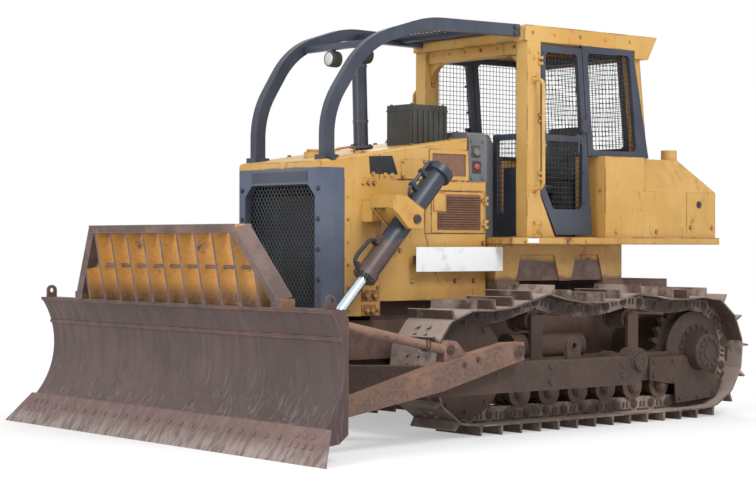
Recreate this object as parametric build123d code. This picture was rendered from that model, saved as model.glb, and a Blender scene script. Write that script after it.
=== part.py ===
from build123d import *
import math
import os

# Bulldozer: a crawler tractor with an angle blade on a C-frame, a roll-over cab and limb guards.
# Millimetres. X points to the blade, Y to the machine's left, Z up.
# The pieces are laid out from the sprocket axle, and put() moves them to the middle of the machine.

# Undercarriage
GAUGE = 1980
SHOE_WIDTH = 508
SHOE_PITCH = 203.2
SHOE_PLATE = 14
SHOE_GAP = 5
SHOE_NOTCH = 6
GROUSER_HEIGHT = 72
GROUSER_ROOT = 26
GROUSER_TIP = 14
LINK_HALF = 55
LINK_INNER = 32
LINK_OUTER = 86
LINK_NOTCH_WIDTH = 22
LINK_NOTCH_DEPTH = 20
WHEELBASE = 2620
SPROCKET_TEETH = 25
TOOTH_WIDTH = 44
TOOTH_RISE = 14
TOOTH_ROOT = 36
IDLER_PIN_RADIUS = 375
CARRIER_FRONT_GAP = 740
CARRIER_X = (780, WHEELBASE - CARRIER_FRONT_GAP)
CARRIER_RISE = (1003, 1008)
RUN_SAG = (45, 80, 45)
ROLLER_X0 = 431
ROLLER_COUNT = 6
ROLLER_FRONT_GAP = 589
ROLLER_PITCH = (WHEELBASE - ROLLER_FRONT_GAP - ROLLER_X0) / (ROLLER_COUNT - 1)
ROLLER_AXLE_Z = 290
ROLLER_FLANGE = 18
FLANGE_WIDTH = 14
CARRIER_RADIUS = 80
AXLE_RADIUS = 32
SEAT_GAP = 0.3
RUN_GAP = 4

# Track frame
RAIL_HALF = 128
RAIL_PLATE = 20
RAIL_TOP = 560
RAIL_BOTTOM = 332
RAIL_REAR = 330
RAIL_FRONT_GAP = 400
RAIL_FRONT = WHEELBASE - RAIL_FRONT_GAP
BEAM_INSET = 60
BEAM_BOTTOM = 425
RECOIL_RADIUS = 112
RECOIL_Z = 640
RECOIL_INSET = 140
RECOIL_FRONT = RAIL_FRONT - RECOIL_INSET
RECOIL_REAR = 1300
YOKE_HEIGHT = 150
YOKE_NOSE = 90
YOKE_LAP = 200
FORK_LENGTH = 260
FORK_HEIGHT = 400
IDLER_GUARD_RADIUS = 392
GUARD_PLATE = 16
# Plate outside the final drive: its outline, and the spacer that carries it on the rail
DRIVE_GUARD = ((606, 519), (188, 525), (-309, 293), (-214, 162), (281, 131), (298, 288), (606, 335))
DRIVE_GUARD_REST = (400, 600)

# Final drives and hubs
DRIVE_RADIUS = 300
COVER_RADIUS = 335
COVER_DEPTH = 60
HUB_RADIUS = 152
HUB_FACE_Y = 1270
HUB_CHAMFER = 16

# Main frame
CASE_REAR = -420
CASE_FRONT = 620
CASE_HALF = 430
CASE_BOTTOM = 380
CASE_TOP = 1150
FRAME_RAIL_Y = 400
FRAME_RAIL_WIDTH = 80
FRAME_RAIL_BOTTOM = 560
FRAME_RAIL_TOP = 860
FRAME_FRONT = 3330
BELLY_PLATE = 16
OUTRIGGER_HALF = 640
OUTRIGGER_BOTTOM = 1000
OUTRIGGER_LENGTH = 250
EQUALIZER_GAP = 120
EQUALIZER_X = RAIL_FRONT - EQUALIZER_GAP
EQUALIZER_WIDTH = 120
EQUALIZER_HEIGHT = 110
DRAWBAR_REAR = -800
DRAWBAR_WIDTH = 260
DRAWBAR_TOP = 590
DRAWBAR_THICK = 90
DRAWBAR_PIN_RADIUS = 29
DRAWBAR_PIN_INSET = 90

# Engine, guard and hood
ENGINE_REAR = 1880
ENGINE_FRONT = 2950
ENGINE_HALF = 380
ENGINE_TOP = 1850
NOSE_X = 3554
NOSE_DEPTH = 224
NOSE_HALF = 528
NOSE_BOTTOM = 800
NOSE_TOP = 2030
NOSE_WALL = 78
GRILLE_BOTTOM = 960
GRILLE_TOP = 1905
GRILLE_CORNER = 90
GRILLE_PLATE = 12
GRILLE_SET_BACK = 45
GRILLE_PITCH = 110
GRILLE_HOLE = 92
GRILLE_RIM = 8
CORE_DEPTH = 60
HOOD_REAR = 2050
HOOD_CAP_X = 3520
HOOD_NOSE_Z = 2090
HOOD_MID_X = 2770
HOOD_MID_Z = 2200
HOOD_TOP_Z = 2304
HOOD_SKIRT_Z = 1950
HOOD_WALL = 12
# Plates on the hood's side: a hatch and the frame of a screen, (rear x, front x, low z, top z)
HATCH = (2516, 2767, 1958, 2110)
SCREEN = (2060, 2477, 1958, 2200)
SCREEN_RIM = 34
PLATE_RISE = 6
PANEL_REAR = 1870
PANEL_BOTTOM = 1010
PANEL_WALL = 14
SIDE_PLATE_REAR = 2985
SIDE_PLATE_RISE = 8
DOOR_REAR = 1885
DOOR_FRONT = 2450
DOOR_BOTTOM = 1540
DOOR_TOP = 1870
DOOR_GAP = 5
LOUVRE_COUNT = 14
LOUVRE_DEPTH = 14
LOUVRE_HEIGHT = 17
LOUVRE_STEP_Z = 1700
LOUVRE_FRONT = (2385, 2290)
HINGE_RADIUS = 11
HINGE_LENGTH = 70
HINGE_STAND_OFF = 1
HINGE_LEAF = 34
ENGINE_HINGE_Z = (1610, 1800)

# Stack and pre-cleaner
STACK_X = 2735
STACK_RADIUS = 59
STACK_TOP = 2970
STACK_LEAN = 2.0
CLEANER_X = (2110, 2500)
CLEANER_Y = (40, 330)
CLEANER_TOP = 2565
CLEANER_RIBS = 7

# Deck, fenders and tank
DECK_BOTTOM = 1450
DECK_TOP = 1510
DECK_HALF = 815
DECK_FRONT = 1850
TANK_REAR = -670
TANK_FRONT = -290
TANK_HALF = 770
TANK_TOP = 2190
TANK_RIDGE = 1905
TANK_CHAMFER = 180
TANK_SLOPE = 300
FENDER_FRONT = 730
FENDER_CHAMFER_FRONT = 250
FENDER_INNER = 420
CAP_RADIUS = 70
CAP_HEIGHT = 90
CAP_INSET = 75
CAP_Y = 500
SUPPORT_Y = 620
SUPPORT_PLATE = 20

# Cab
CAB_HALF = 690
CAB_WALL = 40
CAB_TOP = 3105
ROOF_TOP = 3235
ROOF_FRONT = 1590
ROOF_REAR = 6
ROOF_REAR_FOOT = 80
ROOF_DROP_Z = 3037
ROOF_DROP_X = (120, 285)
ROOF_SKIN = 30
ROOF_EDGE = 20
ROOF_BEAM = 90
POST_FRONT_X = (1410, 1560)
POST_WIDTH = 130
REAR_POST_TOP_X = (190, 310)
REAR_POST_FOOT_X = (50, 170)
CAB_DOOR_FRONT = 1402
CAB_DOOR_TOP = 3080
CAB_DOOR_BOTTOM = 1530
CAB_DOOR_KNEE_Z = 1860
CAB_DOOR_KNEE_X = 1225
CAB_DOOR_REAR_TOP = 935
CAB_DOOR_REAR_FOOT = 805
CAB_DOOR_GAP = 8
DOOR_SPLIT_Z = 2325
DOOR_PANE_FOOT_Z = 1740
DOOR_PANE_CUT = 90
LATCH_Z = (2380, 2480)
LATCH_INSET = 5
LATCH_WIDTH = 70
LATCH_DEPTH = 30
DIVIDER = 60
CAB_HINGE_Z = (2010, 2480, 2950)
WINDOW_RAIL = 50
WINDOW_CORNER = 45
SIDE_REAR_FOOT = 110
SIDE_REAR_TOP = 309
FRONT_WALL_X = 1480
FRONT_WALL = 30
CONSOLE_HALF = 230
CONSOLE_TOP = 2360
CONSOLE_FRONT = 1850
COWL_HALF = 522
COWL_TOP = 2350
COWL_EDGE = 40
HEADER_X = (1430, 1530)
HEADER_DEPTH = 100
GUSSET_X = (1455, 1505)
GUSSET = 200

# Limb guards
SWEEP_FOOT_X = 3435
SWEEP_FOOT_Y = 442
SWEEP_FOOT_Z = 2130
SWEEP_TOP_Z = 3190
SWEEP_END_Y = 600
SWEEP_DEPTH = 96
SWEEP_WIDTH = 72
SWEEP_CORNERS = ((2480, 3435), (3010, 3080), (3190, 2500))
SWEEP_RADII = (650, 700, 900)
CROSS_BAR_X = (2950, 2350, 1850)
CROSS_BAR_Z = (3020, 3170, 3190)
CROSS_BAR = 50
LAMP_RADIUS = 62
LAMP_DEPTH = 90
LAMP_Y = (-90, 300)
LAMP_GAP = 10
LAMP_STEM = 28
SWEEP_PAD_X = 70
SWEEP_PAD_Y = 60
HANDLE_Z = (1900, 2790)
HANDLE_REACH = 110
HANDLE_BEND = 60
HANDLE_RADIUS = 15

# Seat and levers, set out from the seat's middle
SEAT_X = 620
SEAT_HALF = 250
SEAT_LENGTH = 500
SEAT_BASE_X = (260, 230)
SEAT_BASE_INSET = 30
SEAT_BASE_TOP = 1850
CUSHION = 120
BACK_TOP = 2480
BACK_FOOT = 120
BACK_HEAD = 110
BACK_LEAN = 60
LEVER_BOX_X = (60, 230)
LEVER_BOX_GAP = 20
LEVER_BOX_WIDTH = 100
LEVER_BOX_RISE = 120
LEVER_COUNT = 3
LEVER_X0 = 20
LEVER_PITCH = 80
LEVER_LENGTH = 240
LEVER_SUNK = 20
LEVER_RADIUS = 10
KNOB_RISE = 10
KNOB_RADIUS = 22
KNOB_LENGTH = 60

# Blade
BLADE_HALF = 1912
BLADE_TOP = (4558, 1013)
BLADE_MIDDLE = (4435, 680)
BLADE_KNEE = (4600, 230)
BLADE_TIP_X = 4765
BLADE_PLATE = 26
EDGE_PLATE = 22
EDGE_SEAM = 520
EDGE_GAP = 3
BIT_INNER = 1600
BIT_TIP = 2134
BLADE_BACK = 4400
BLADE_WALL = 25
BLADE_FOOT = 120
RIB_Y = (-1560, -1180, -800, -400, 400, 800, 1180, 1560)
# Stiffening shelves behind the face: height of the underside, x of the front edge
SHELVES = ((330, 4510), (560, 4430), (803, 4470), (988, 4553))
EYE_X = 4498
EYE_INSET = 72
EYE_Y = BLADE_HALF - EYE_INSET
EYE_RADIUS = 42
EYE_HOLE = 20
EYE_PLATE = 24
RACK_FINS = 9
RACK_PITCH = 226
RACK_TOP = 1590
RACK_TOP_X = 4666
RACK_LEAN = 106
RACK_FIN = 25
RACK_DEPTH = 140
RACK_FOOT_DEPTH = 155
RACK_END_FIN_Y = 1130
RACK_CHANNEL = 70
RACK_HALF_TOP = 978
RACK_HALF_FOOT = 1310
RACK_ROD_Z = 1285
RACK_ROD_RADIUS = 14

# C-frame, braces and tilt tubes
TRUNNION_X = 1118
TRUNNION_Z = 522
TRUNNION_RADIUS = 48
TRUNNION_GAP = 0.3
ARM_Y = 1435
ARM_WIDTH = 130
ARM_Z = 455
ARM_HEIGHT = 220
ARM_BEND_X = 3150
LUG_X = 1799
LUG_Z = 666
LUG_RADIUS = 72
LUG_HOLE = 25
LUG_PLATE = 40
BOW_X = (3810, 4120)
BOW_Y = (800, 260)
BOW_RADII = (300, 300, 240)
BALL_X = 4255
BALL_RADIUS = 68
BALL_SEAT = 0.4
SOCKET_SHARE = 1.5
BRACE_Y = (1512, 1610)
BRACE_FOOT = (4290, 300)
BRACE_BALL_X = 4345
BRACE_BALL_RADIUS = 52
BRACE_NECK = 30
BRACE_PIN = (2550, 660)
CLEVIS = (3200, 690)
TUBE_RADIUS = 35
TUBE_END_Z = 945

# Lift cylinders
CYL_Y = 800
CYL_PIVOT = (2950, 1640)
ROD_EYE = (3808, 720)
BARREL_RADIUS = 82
BARREL_BACK = 520
BARREL_FRONT = 600
HEAD_RADIUS = 108
HEAD_LENGTH = 60
GLAND_RADIUS = 94
GLAND_LENGTH = 55
BORE_RADIUS = 41
ROD_RADIUS = 40
ROD_LENGTH = 1080
EYE_BOSS = 68
EYE_HALF = 40
EYE_PIN = 30
EAR_GAP = 6
EAR_PLATE = 36
EAR_RADIUS = 78
PIN_RADIUS = 32
PIN_HALF = 148
YOKE_PLATE = 42
YOKE_GAP = 6

# Worked out from the sizes above
SHOE_RISE = LINK_HALF + SHOE_PLATE + GROUSER_HEIGHT
SPROCKET_RADIUS = SHOE_PITCH / (2 * math.sin(2 * math.pi / SPROCKET_TEETH))
SPROCKET_Z = SHOE_RISE + SPROCKET_RADIUS
EQUALIZER_TOP = FRAME_RAIL_BOTTOM - SEAT_GAP
IDLER_Z = SHOE_RISE + IDLER_PIN_RADIUS
TRACK_Y = GAUGE / 2
MIDDLE_X = (BLADE_TIP_X + DRAWBAR_REAR) / 2
ENGINE_HINGE_X = DOOR_REAR - DOOR_GAP / 2
CAB_HINGE_X = (CAB_DOOR_FRONT + POST_FRONT_X[0]) / 2

os.makedirs("parts", exist_ok=True)


def put(shape, name):
    """Move a piece to the machine's middle and write it."""
    export_step(Pos(-MIDDLE_X, 0, 0) * shape, f"parts/{name}.step")


def mirror_y(shape):
    return mirror(shape, about=Plane.XZ)


def put_pair(shape, name):
    """Write the left piece and its mirror image on the right."""
    put(shape, f"{name}_left")
    put(mirror_y(shape), f"{name}_right")


def block(x, y, z):
    """A box from three (low, high) pairs."""
    middle = Pos((x[0] + x[1]) / 2, (y[0] + y[1]) / 2, (z[0] + z[1]) / 2)
    return middle * Box(abs(x[1] - x[0]), abs(y[1] - y[0]), abs(z[1] - z[0]))


def outline(points):
    return make_face(Polyline(*points, close=True))


def rounded(points, radius):
    return make_face(FilletPolyline(*points, radius=radius, close=True))


def rectangle(x0, x1, y0, y1):
    return [(x0, y0), (x1, y0), (x1, y1), (x0, y1)]


def side_plate(points, y0, y1):
    """A plate drawn in side view, points (x, z)."""
    plane = Plane(origin=(0, y1, 0), x_dir=(1, 0, 0), z_dir=(0, -1, 0))
    return extrude(plane * outline(points), amount=y1 - y0)


def side_face(face, y0, y1):
    plane = Plane(origin=(0, y1, 0), x_dir=(1, 0, 0), z_dir=(0, -1, 0))
    return extrude(plane * face, amount=y1 - y0)


def front_plate(points, x0, x1):
    """A plate drawn from the front, points (y, z)."""
    return front_face(outline(points), x0, x1)


def front_face(face, x0, x1):
    plane = Plane(origin=(x0, 0, 0), x_dir=(0, 1, 0), z_dir=(1, 0, 0))
    return extrude(plane * face, amount=x1 - x0)


def flat_plate(points, z0, z1):
    """A plate drawn in plan, points (x, y)."""
    return extrude(Pos(0, 0, z0) * outline(points), amount=z1 - z0)


def shaft(x, z, radius, y0, y1):
    """A round bar across the machine."""
    return Pos(x, (y0 + y1) / 2, z) * Rot(90, 0, 0) * Cylinder(radius, abs(y1 - y0))


def round_bar(start, end, radius):
    run = Vector(*end) - Vector(*start)
    plane = Plane(origin=start, z_dir=run)
    return extrude(plane * Circle(radius), amount=run.length)


def square_bar(start, end, width, depth, across=(0, 1, 0)):
    run = Vector(*end) - Vector(*start)
    plane = Plane(origin=start, x_dir=across, z_dir=run)
    return extrude(plane * Rectangle(width, depth), amount=run.length)


def turned(profile, x, y, z):
    """A turned piece on an axis across the machine; profile (distance outboard, radius)."""
    face = outline([(u, r) for u, r in profile])
    solid = revolve(face, axis=Axis.X)
    return Pos(x, y, z) * Rot(0, 0, 90) * solid


# Track geometry
def run_height(x):
    """Height of the upper chain run between the sprocket, the two carriers and the idler."""
    posts = [(0, SPROCKET_Z + SPROCKET_RADIUS), (CARRIER_X[0], CARRIER_RISE[0]),
             (CARRIER_X[1], CARRIER_RISE[1]), (WHEELBASE, IDLER_Z + IDLER_PIN_RADIUS)]
    for i in range(3):
        (xa, za), (xb, zb) = posts[i], posts[i + 1]
        if x <= xb:
            t = (x - xa) / (xb - xa)
            return za + (zb - za) * t - RUN_SAG[i] * 4 * t * (1 - t)
    return posts[3][1]


def chain_path():
    """Close points along the pin line: bottom, idler, upper run, sprocket."""
    steps = 240
    path = [(WHEELBASE * i / steps, SHOE_RISE) for i in range(steps)]
    for i in range(steps):
        a = -math.pi / 2 + math.pi * i / steps
        path.append((WHEELBASE + IDLER_PIN_RADIUS * math.cos(a), IDLER_Z + IDLER_PIN_RADIUS * math.sin(a)))
    for i in range(steps):
        x = WHEELBASE * (1 - i / steps)
        path.append((x, run_height(x)))
    for i in range(steps):
        a = math.pi / 2 + math.pi * i / steps
        path.append((SPROCKET_RADIUS * math.cos(a), SPROCKET_Z + SPROCKET_RADIUS * math.sin(a)))
    return path


def chain_pins():
    """The pins, evenly spaced along the path."""
    path = chain_path()
    path.append(path[0])
    lengths = [math.dist(path[i], path[i + 1]) for i in range(len(path) - 1)]
    count = round(sum(lengths) / SHOE_PITCH)
    step = sum(lengths) / count
    pins = []
    reached = 0
    target = step / 2
    for i, length in enumerate(lengths):
        while len(pins) < count and target <= reached + length:
            t = (target - reached) / length
            pins.append(tuple(path[i][k] + (path[i + 1][k] - path[i][k]) * t for k in range(2)))
            target += step
        reached += length
    return pins


PINS = chain_pins()
SHOE_COUNT = len(PINS)


def link_frame(i):
    """Start, direction, outward normal and length of link i."""
    a = PINS[i % SHOE_COUNT]
    b = PINS[(i + 1) % SHOE_COUNT]
    length = math.dist(a, b)
    d = ((b[0] - a[0]) / length, (b[1] - a[1]) / length)
    return a, d, (d[1], -d[0]), length


def offset_loop(distance):
    """The pin polygon moved outwards by a distance, with sharp corners."""
    corners = []
    for i in range(SHOE_COUNT):
        a, d0, n0, length = link_frame(i - 1)
        p, d1, n1, length = link_frame(i)
        k = distance / (1 + n0[0] * n1[0] + n0[1] * n1[1])
        corners.append((p[0] + k * (n0[0] + n1[0]), p[1] + k * (n0[1] + n1[1])))
    return corners


def shoe_loop():
    """The outer outline, shoe by shoe, each with one grouser."""
    plate = LINK_HALF + SHOE_PLATE
    notch = offset_loop(plate - SHOE_NOTCH)
    points = []
    for i in range(SHOE_COUNT):
        p, d, n, length = link_frame(i)
        points.append(notch[i])
        profile = [(SHOE_GAP, plate),
                   (SHOE_GAP + (GROUSER_ROOT - GROUSER_TIP) / 2, plate + GROUSER_HEIGHT),
                   (SHOE_GAP + (GROUSER_ROOT + GROUSER_TIP) / 2, plate + GROUSER_HEIGHT),
                   (SHOE_GAP + GROUSER_ROOT, plate),
                   (length - SHOE_GAP, plate)]
        for t, h in profile:
            points.append((p[0] + d[0] * t + n[0] * h, p[1] + d[1] * t + n[1] * h))
    return points


def rail_loop():
    """The chain's inner outline, with a notch where two links meet at each pin."""
    points = []
    for i in range(SHOE_COUNT):
        p, d, n, length = link_frame(i)
        corner = offset_loop(-LINK_HALF)[i]
        k = LINK_NOTCH_DEPTH / LINK_HALF
        after = LINK_NOTCH_WIDTH / 2
        last_p, last_d, last_n, last = link_frame(i - 1)
        points.append((corner[0] - last_d[0] * after, corner[1] - last_d[1] * after))
        points.append((corner[0] + (p[0] - corner[0]) * k, corner[1] + (p[1] - corner[1]) * k))
        points.append((corner[0] + d[0] * after, corner[1] + d[1] * after))
    return points


def chain_distance(x, z):
    """Distance from a point to the chain's rail surface."""
    rail = offset_loop(-LINK_HALF)
    best = None
    for i, a in enumerate(rail):
        b = rail[(i + 1) % len(rail)]
        run = (b[0] - a[0], b[1] - a[1])
        t = ((x - a[0]) * run[0] + (z - a[1]) * run[1]) / (run[0] ** 2 + run[1] ** 2)
        t = min(1, max(0, t))
        gap = math.dist((x, z), (a[0] + run[0] * t, a[1] + run[1] * t))
        if best is None or gap < best:
            best = gap
    return best


def carrier_z(x):
    """Axle height at which a carrier roller just meets the chain above it."""
    low = SPROCKET_Z + CARRIER_RADIUS
    high = run_height(x)
    for i in range(40):
        middle = (low + high) / 2
        if chain_distance(x, middle) > CARRIER_RADIUS + SEAT_GAP:
            low = middle
        else:
            high = middle
    return low


CARRIER_Z = [carrier_z(x) for x in CARRIER_X]
ROLLER_RADIUS = ROLLER_AXLE_Z - (SHOE_RISE + LINK_HALF) - SEAT_GAP
IDLER_RADIUS = chain_distance(WHEELBASE, IDLER_Z) - SEAT_GAP


def track():
    half = SHOE_WIDTH / 2
    shoes = side_plate(shoe_loop(), TRACK_Y - half, TRACK_Y + half)
    shoes -= side_plate(offset_loop(LINK_HALF), TRACK_Y - half - 1, TRACK_Y + half + 1)
    for side in (-1, 1):
        y0, y1 = sorted((TRACK_Y + side * LINK_INNER, TRACK_Y + side * LINK_OUTER))
        strand = side_plate(offset_loop(LINK_HALF), y0, y1)
        strand -= side_plate(rail_loop(), y0 - 1, y1 + 1)
        shoes += strand
    return shoes


def sprocket():
    points = []
    for i in range(SPROCKET_TEETH):
        a = 2 * math.pi * i / SPROCKET_TEETH
        step = 2 * math.pi / SPROCKET_TEETH
        for share, radius in ((0.12, SPROCKET_RADIUS + TOOTH_RISE), (0.30, SPROCKET_RADIUS - TOOTH_ROOT),
                              (0.70, SPROCKET_RADIUS - TOOTH_ROOT), (0.88, SPROCKET_RADIUS + TOOTH_RISE)):
            angle = a + share * step
            points.append((radius * math.cos(angle), SPROCKET_Z + radius * math.sin(angle)))
    wheel = side_plate(points, TRACK_Y - TOOTH_WIDTH / 2, TRACK_Y + TOOTH_WIDTH / 2)
    wheel -= shaft(0, SPROCKET_Z, DRIVE_RADIUS, 0, 2 * TRACK_Y)
    return wheel


def final_drive():
    cover_y = TRACK_Y + LINK_OUTER + RUN_GAP
    case = shaft(0, SPROCKET_Z, DRIVE_RADIUS, CASE_HALF, cover_y)
    rim = COVER_DEPTH * 0.8
    face = HUB_FACE_Y - cover_y
    cover = turned([(0, 0), (0, COVER_RADIUS), (COVER_DEPTH / 3, COVER_RADIUS),
                    (COVER_DEPTH, COVER_RADIUS * 0.72), (rim, HUB_RADIUS), (face - HUB_CHAMFER, HUB_RADIUS),
                    (face, HUB_RADIUS - HUB_CHAMFER), (face, 0)], 0, cover_y, SPROCKET_Z)
    return case + cover + sprocket()


def roller_profile(tread, half, flange):
    """Half profile of a flanged roller with a waist that clears the teeth, (distance outboard, radius)."""
    run = LINK_OUTER + RUN_GAP
    waist = tread * 0.8
    return [(-half, 0), (-half, tread + flange), (-run, tread + flange), (-run, tread),
            (-LINK_INNER, tread), (-LINK_INNER, waist), (LINK_INNER, waist), (LINK_INNER, tread),
            (run, tread), (run, tread + flange), (half, tread + flange), (half, 0)]


def rollers():
    """Six track rollers, two carrier rollers and the idler of one side."""
    half = RAIL_HALF - RAIL_PLATE
    profile = roller_profile(ROLLER_RADIUS, half, ROLLER_FLANGE)
    row = [turned(profile, ROLLER_X0 + ROLLER_PITCH * i, TRACK_Y, ROLLER_AXLE_Z) for i in range(ROLLER_COUNT)]
    for x, z in zip(CARRIER_X, CARRIER_Z):
        profile = [(-LINK_OUTER - 20, 0), (-LINK_OUTER - 20, CARRIER_RADIUS + ROLLER_FLANGE),
                   (-LINK_OUTER - RUN_GAP, CARRIER_RADIUS + ROLLER_FLANGE), (-LINK_OUTER - RUN_GAP, CARRIER_RADIUS),
                   (LINK_OUTER, CARRIER_RADIUS), (LINK_OUTER, CARRIER_RADIUS * 0.6),
                   (LINK_OUTER + 24, CARRIER_RADIUS * 0.6), (LINK_OUTER + 24, 0)]
        row.append(turned(profile, x, TRACK_Y, z))
    row.append(idler())
    return Compound(children=row)


def idler():
    web = IDLER_RADIUS * 0.62
    profile = [(-LINK_OUTER, 0), (-LINK_OUTER, IDLER_RADIUS),
               (-LINK_INNER + RUN_GAP, IDLER_RADIUS), (-LINK_INNER + RUN_GAP, IDLER_RADIUS + ROLLER_FLANGE),
               (LINK_INNER - RUN_GAP, IDLER_RADIUS + ROLLER_FLANGE), (LINK_INNER - RUN_GAP, IDLER_RADIUS),
               (LINK_OUTER, IDLER_RADIUS), (LINK_OUTER, web * 1.25), (LINK_INNER * 1.2, web),
               (LINK_INNER * 1.2, AXLE_RADIUS * 2.8), (LINK_OUTER, AXLE_RADIUS * 2.4), (LINK_OUTER, 0)]
    return turned(profile, WHEELBASE, TRACK_Y, IDLER_Z)


def track_frame():
    """Box beam with roller rails, recoil housing, carrier posts, idler yoke and chain guards."""
    beam = block((RAIL_REAR + BEAM_INSET, RAIL_FRONT), (TRACK_Y - RAIL_HALF, TRACK_Y + RAIL_HALF),
                 (BEAM_BOTTOM, RAIL_TOP))
    for side in (-1, 1):
        face = TRACK_Y + side * RAIL_HALF
        y0, y1 = sorted((face, face - side * RAIL_PLATE))
        beam += block((RAIL_REAR, RAIL_FRONT), (y0, y1), (RAIL_BOTTOM, RAIL_TOP))
        for i in range(ROLLER_COUNT):
            x = ROLLER_X0 + ROLLER_PITCH * i
            beam += shaft(x, ROLLER_AXLE_Z, ROLLER_RADIUS * 0.62, y0, y1)
            beam += block((x - 50, x + 50), (y0, y1), (ROLLER_AXLE_Z, RAIL_BOTTOM + 10))
        low = IDLER_Z - YOKE_HEIGHT / 2
        high = IDLER_Z + YOKE_HEIGHT / 2
        yoke = [(RAIL_FRONT - YOKE_LAP, low), (WHEELBASE + YOKE_NOSE, low),
                (WHEELBASE + YOKE_NOSE, high), (RAIL_FRONT - YOKE_LAP, high)]
        arm_y = sorted((TRACK_Y + side * LINK_OUTER, TRACK_Y + side * (LINK_OUTER + GUARD_PLATE)))
        beam += side_plate(yoke, arm_y[0], arm_y[1])
    beam -= block((RAIL_FRONT - FORK_LENGTH, RAIL_FRONT + 1), (TRACK_Y - LINK_OUTER, TRACK_Y + LINK_OUTER),
                  (0, FORK_HEIGHT))
    recoil = Pos((RECOIL_REAR + RECOIL_FRONT) / 2, TRACK_Y, RECOIL_Z) * Rot(0, 90, 0)
    beam += recoil * Cylinder(RECOIL_RADIUS, RECOIL_FRONT - RECOIL_REAR)
    for x, z in zip(CARRIER_X, CARRIER_Z):
        y = TRACK_Y + LINK_OUTER + 24
        beam += block((x - 60, x + 60), (y, y + 30), (RAIL_TOP - 40, z + 40))
        beam += block((x - 60, x + 60), (TRACK_Y + 60, y), (RAIL_TOP - 40, RAIL_TOP + 40))
    guard_y = TRACK_Y + LINK_OUTER + GUARD_PLATE
    guard = shaft(WHEELBASE, IDLER_Z, IDLER_GUARD_RADIUS, guard_y, guard_y + GUARD_PLATE)
    beam += guard
    plate_y = TRACK_Y + LINK_OUTER + RUN_GAP + COVER_DEPTH + RUN_GAP
    plate = side_plate(DRIVE_GUARD, plate_y, plate_y + GUARD_PLATE)
    beam += plate - shaft(0, SPROCKET_Z, HUB_RADIUS + RUN_GAP, plate_y - 1, plate_y + GUARD_PLATE + 1)
    beam -= shaft(0, SPROCKET_Z, COVER_RADIUS + RUN_GAP, 0, plate_y)
    beam += block(DRIVE_GUARD_REST, (TRACK_Y + RAIL_HALF - 1, plate_y + 1), (RAIL_BOTTOM + 20, RAIL_TOP - 60))
    beam -= shaft(0, SPROCKET_Z, SPROCKET_RADIUS + TOOTH_RISE + RUN_GAP,
                  TRACK_Y - TOOTH_WIDTH / 2 - RUN_GAP, TRACK_Y + TOOTH_WIDTH / 2 + RUN_GAP)
    return beam + trunnion()


def trunnion():
    """The shaft that the C-frame's arm turns on, with its retaining cap."""
    face = ARM_Y + ARM_WIDTH / 2
    base_y = TRACK_Y + RAIL_HALF
    pin = shaft(TRUNNION_X, TRUNNION_Z, TRUNNION_RADIUS, base_y, face + 30)
    pin += shaft(TRUNNION_X, TRUNNION_Z, TRUNNION_RADIUS * 1.5, base_y, base_y + 90)
    pin += shaft(TRUNNION_X, TRUNNION_Z, TRUNNION_RADIUS * 1.35, face + 1, face + 30)
    return pin


# Main frame
def main_frame():
    frame = block((CASE_REAR, CASE_FRONT), (-CASE_HALF, CASE_HALF), (CASE_BOTTOM, CASE_TOP))
    inner = FRAME_RAIL_Y - FRAME_RAIL_WIDTH / 2
    outer = FRAME_RAIL_Y + FRAME_RAIL_WIDTH / 2
    for side in (-1, 1):
        rail_y = sorted((side * inner, side * outer))
        frame += block((CASE_FRONT - 20, FRAME_FRONT), rail_y, (FRAME_RAIL_BOTTOM, FRAME_RAIL_TOP))
    frame += block((FRAME_FRONT - 260, FRAME_FRONT), (-outer, outer), (FRAME_RAIL_BOTTOM, FRAME_RAIL_TOP - 60))
    belly = [(CASE_FRONT - 40, CASE_BOTTOM + 20), (FRAME_FRONT - 330, CASE_BOTTOM + 20),
             (FRAME_FRONT, FRAME_RAIL_BOTTOM), (FRAME_FRONT, FRAME_RAIL_BOTTOM + 1.3 * BELLY_PLATE),
             (FRAME_FRONT - 334, CASE_BOTTOM + 20 + BELLY_PLATE), (CASE_FRONT - 40, CASE_BOTTOM + 20 + BELLY_PLATE)]
    frame += side_plate(belly, -outer, outer)
    for x in (CASE_FRONT - OUTRIGGER_LENGTH, DECK_FRONT - OUTRIGGER_LENGTH):
        frame += block((x, x + OUTRIGGER_LENGTH), (-OUTRIGGER_HALF, OUTRIGGER_HALF),
                       (OUTRIGGER_BOTTOM, CASE_TOP))
    x = DECK_FRONT - OUTRIGGER_LENGTH
    for side in (-1, 1):
        rail_y = sorted((side * inner, side * outer))
        frame += block((x, x + OUTRIGGER_LENGTH), rail_y, (FRAME_RAIL_TOP - 5, OUTRIGGER_BOTTOM + 5))
    return frame


def equalizer_bar():
    y = TRACK_Y - RAIL_HALF
    bar = [(-y, EQUALIZER_TOP - 80), (-y, EQUALIZER_TOP), (y, EQUALIZER_TOP), (y, EQUALIZER_TOP - 80),
           (250, EQUALIZER_TOP - EQUALIZER_HEIGHT), (-250, EQUALIZER_TOP - EQUALIZER_HEIGHT)]
    return front_plate(bar, EQUALIZER_X - EQUALIZER_WIDTH / 2, EQUALIZER_X + EQUALIZER_WIDTH / 2)


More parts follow.
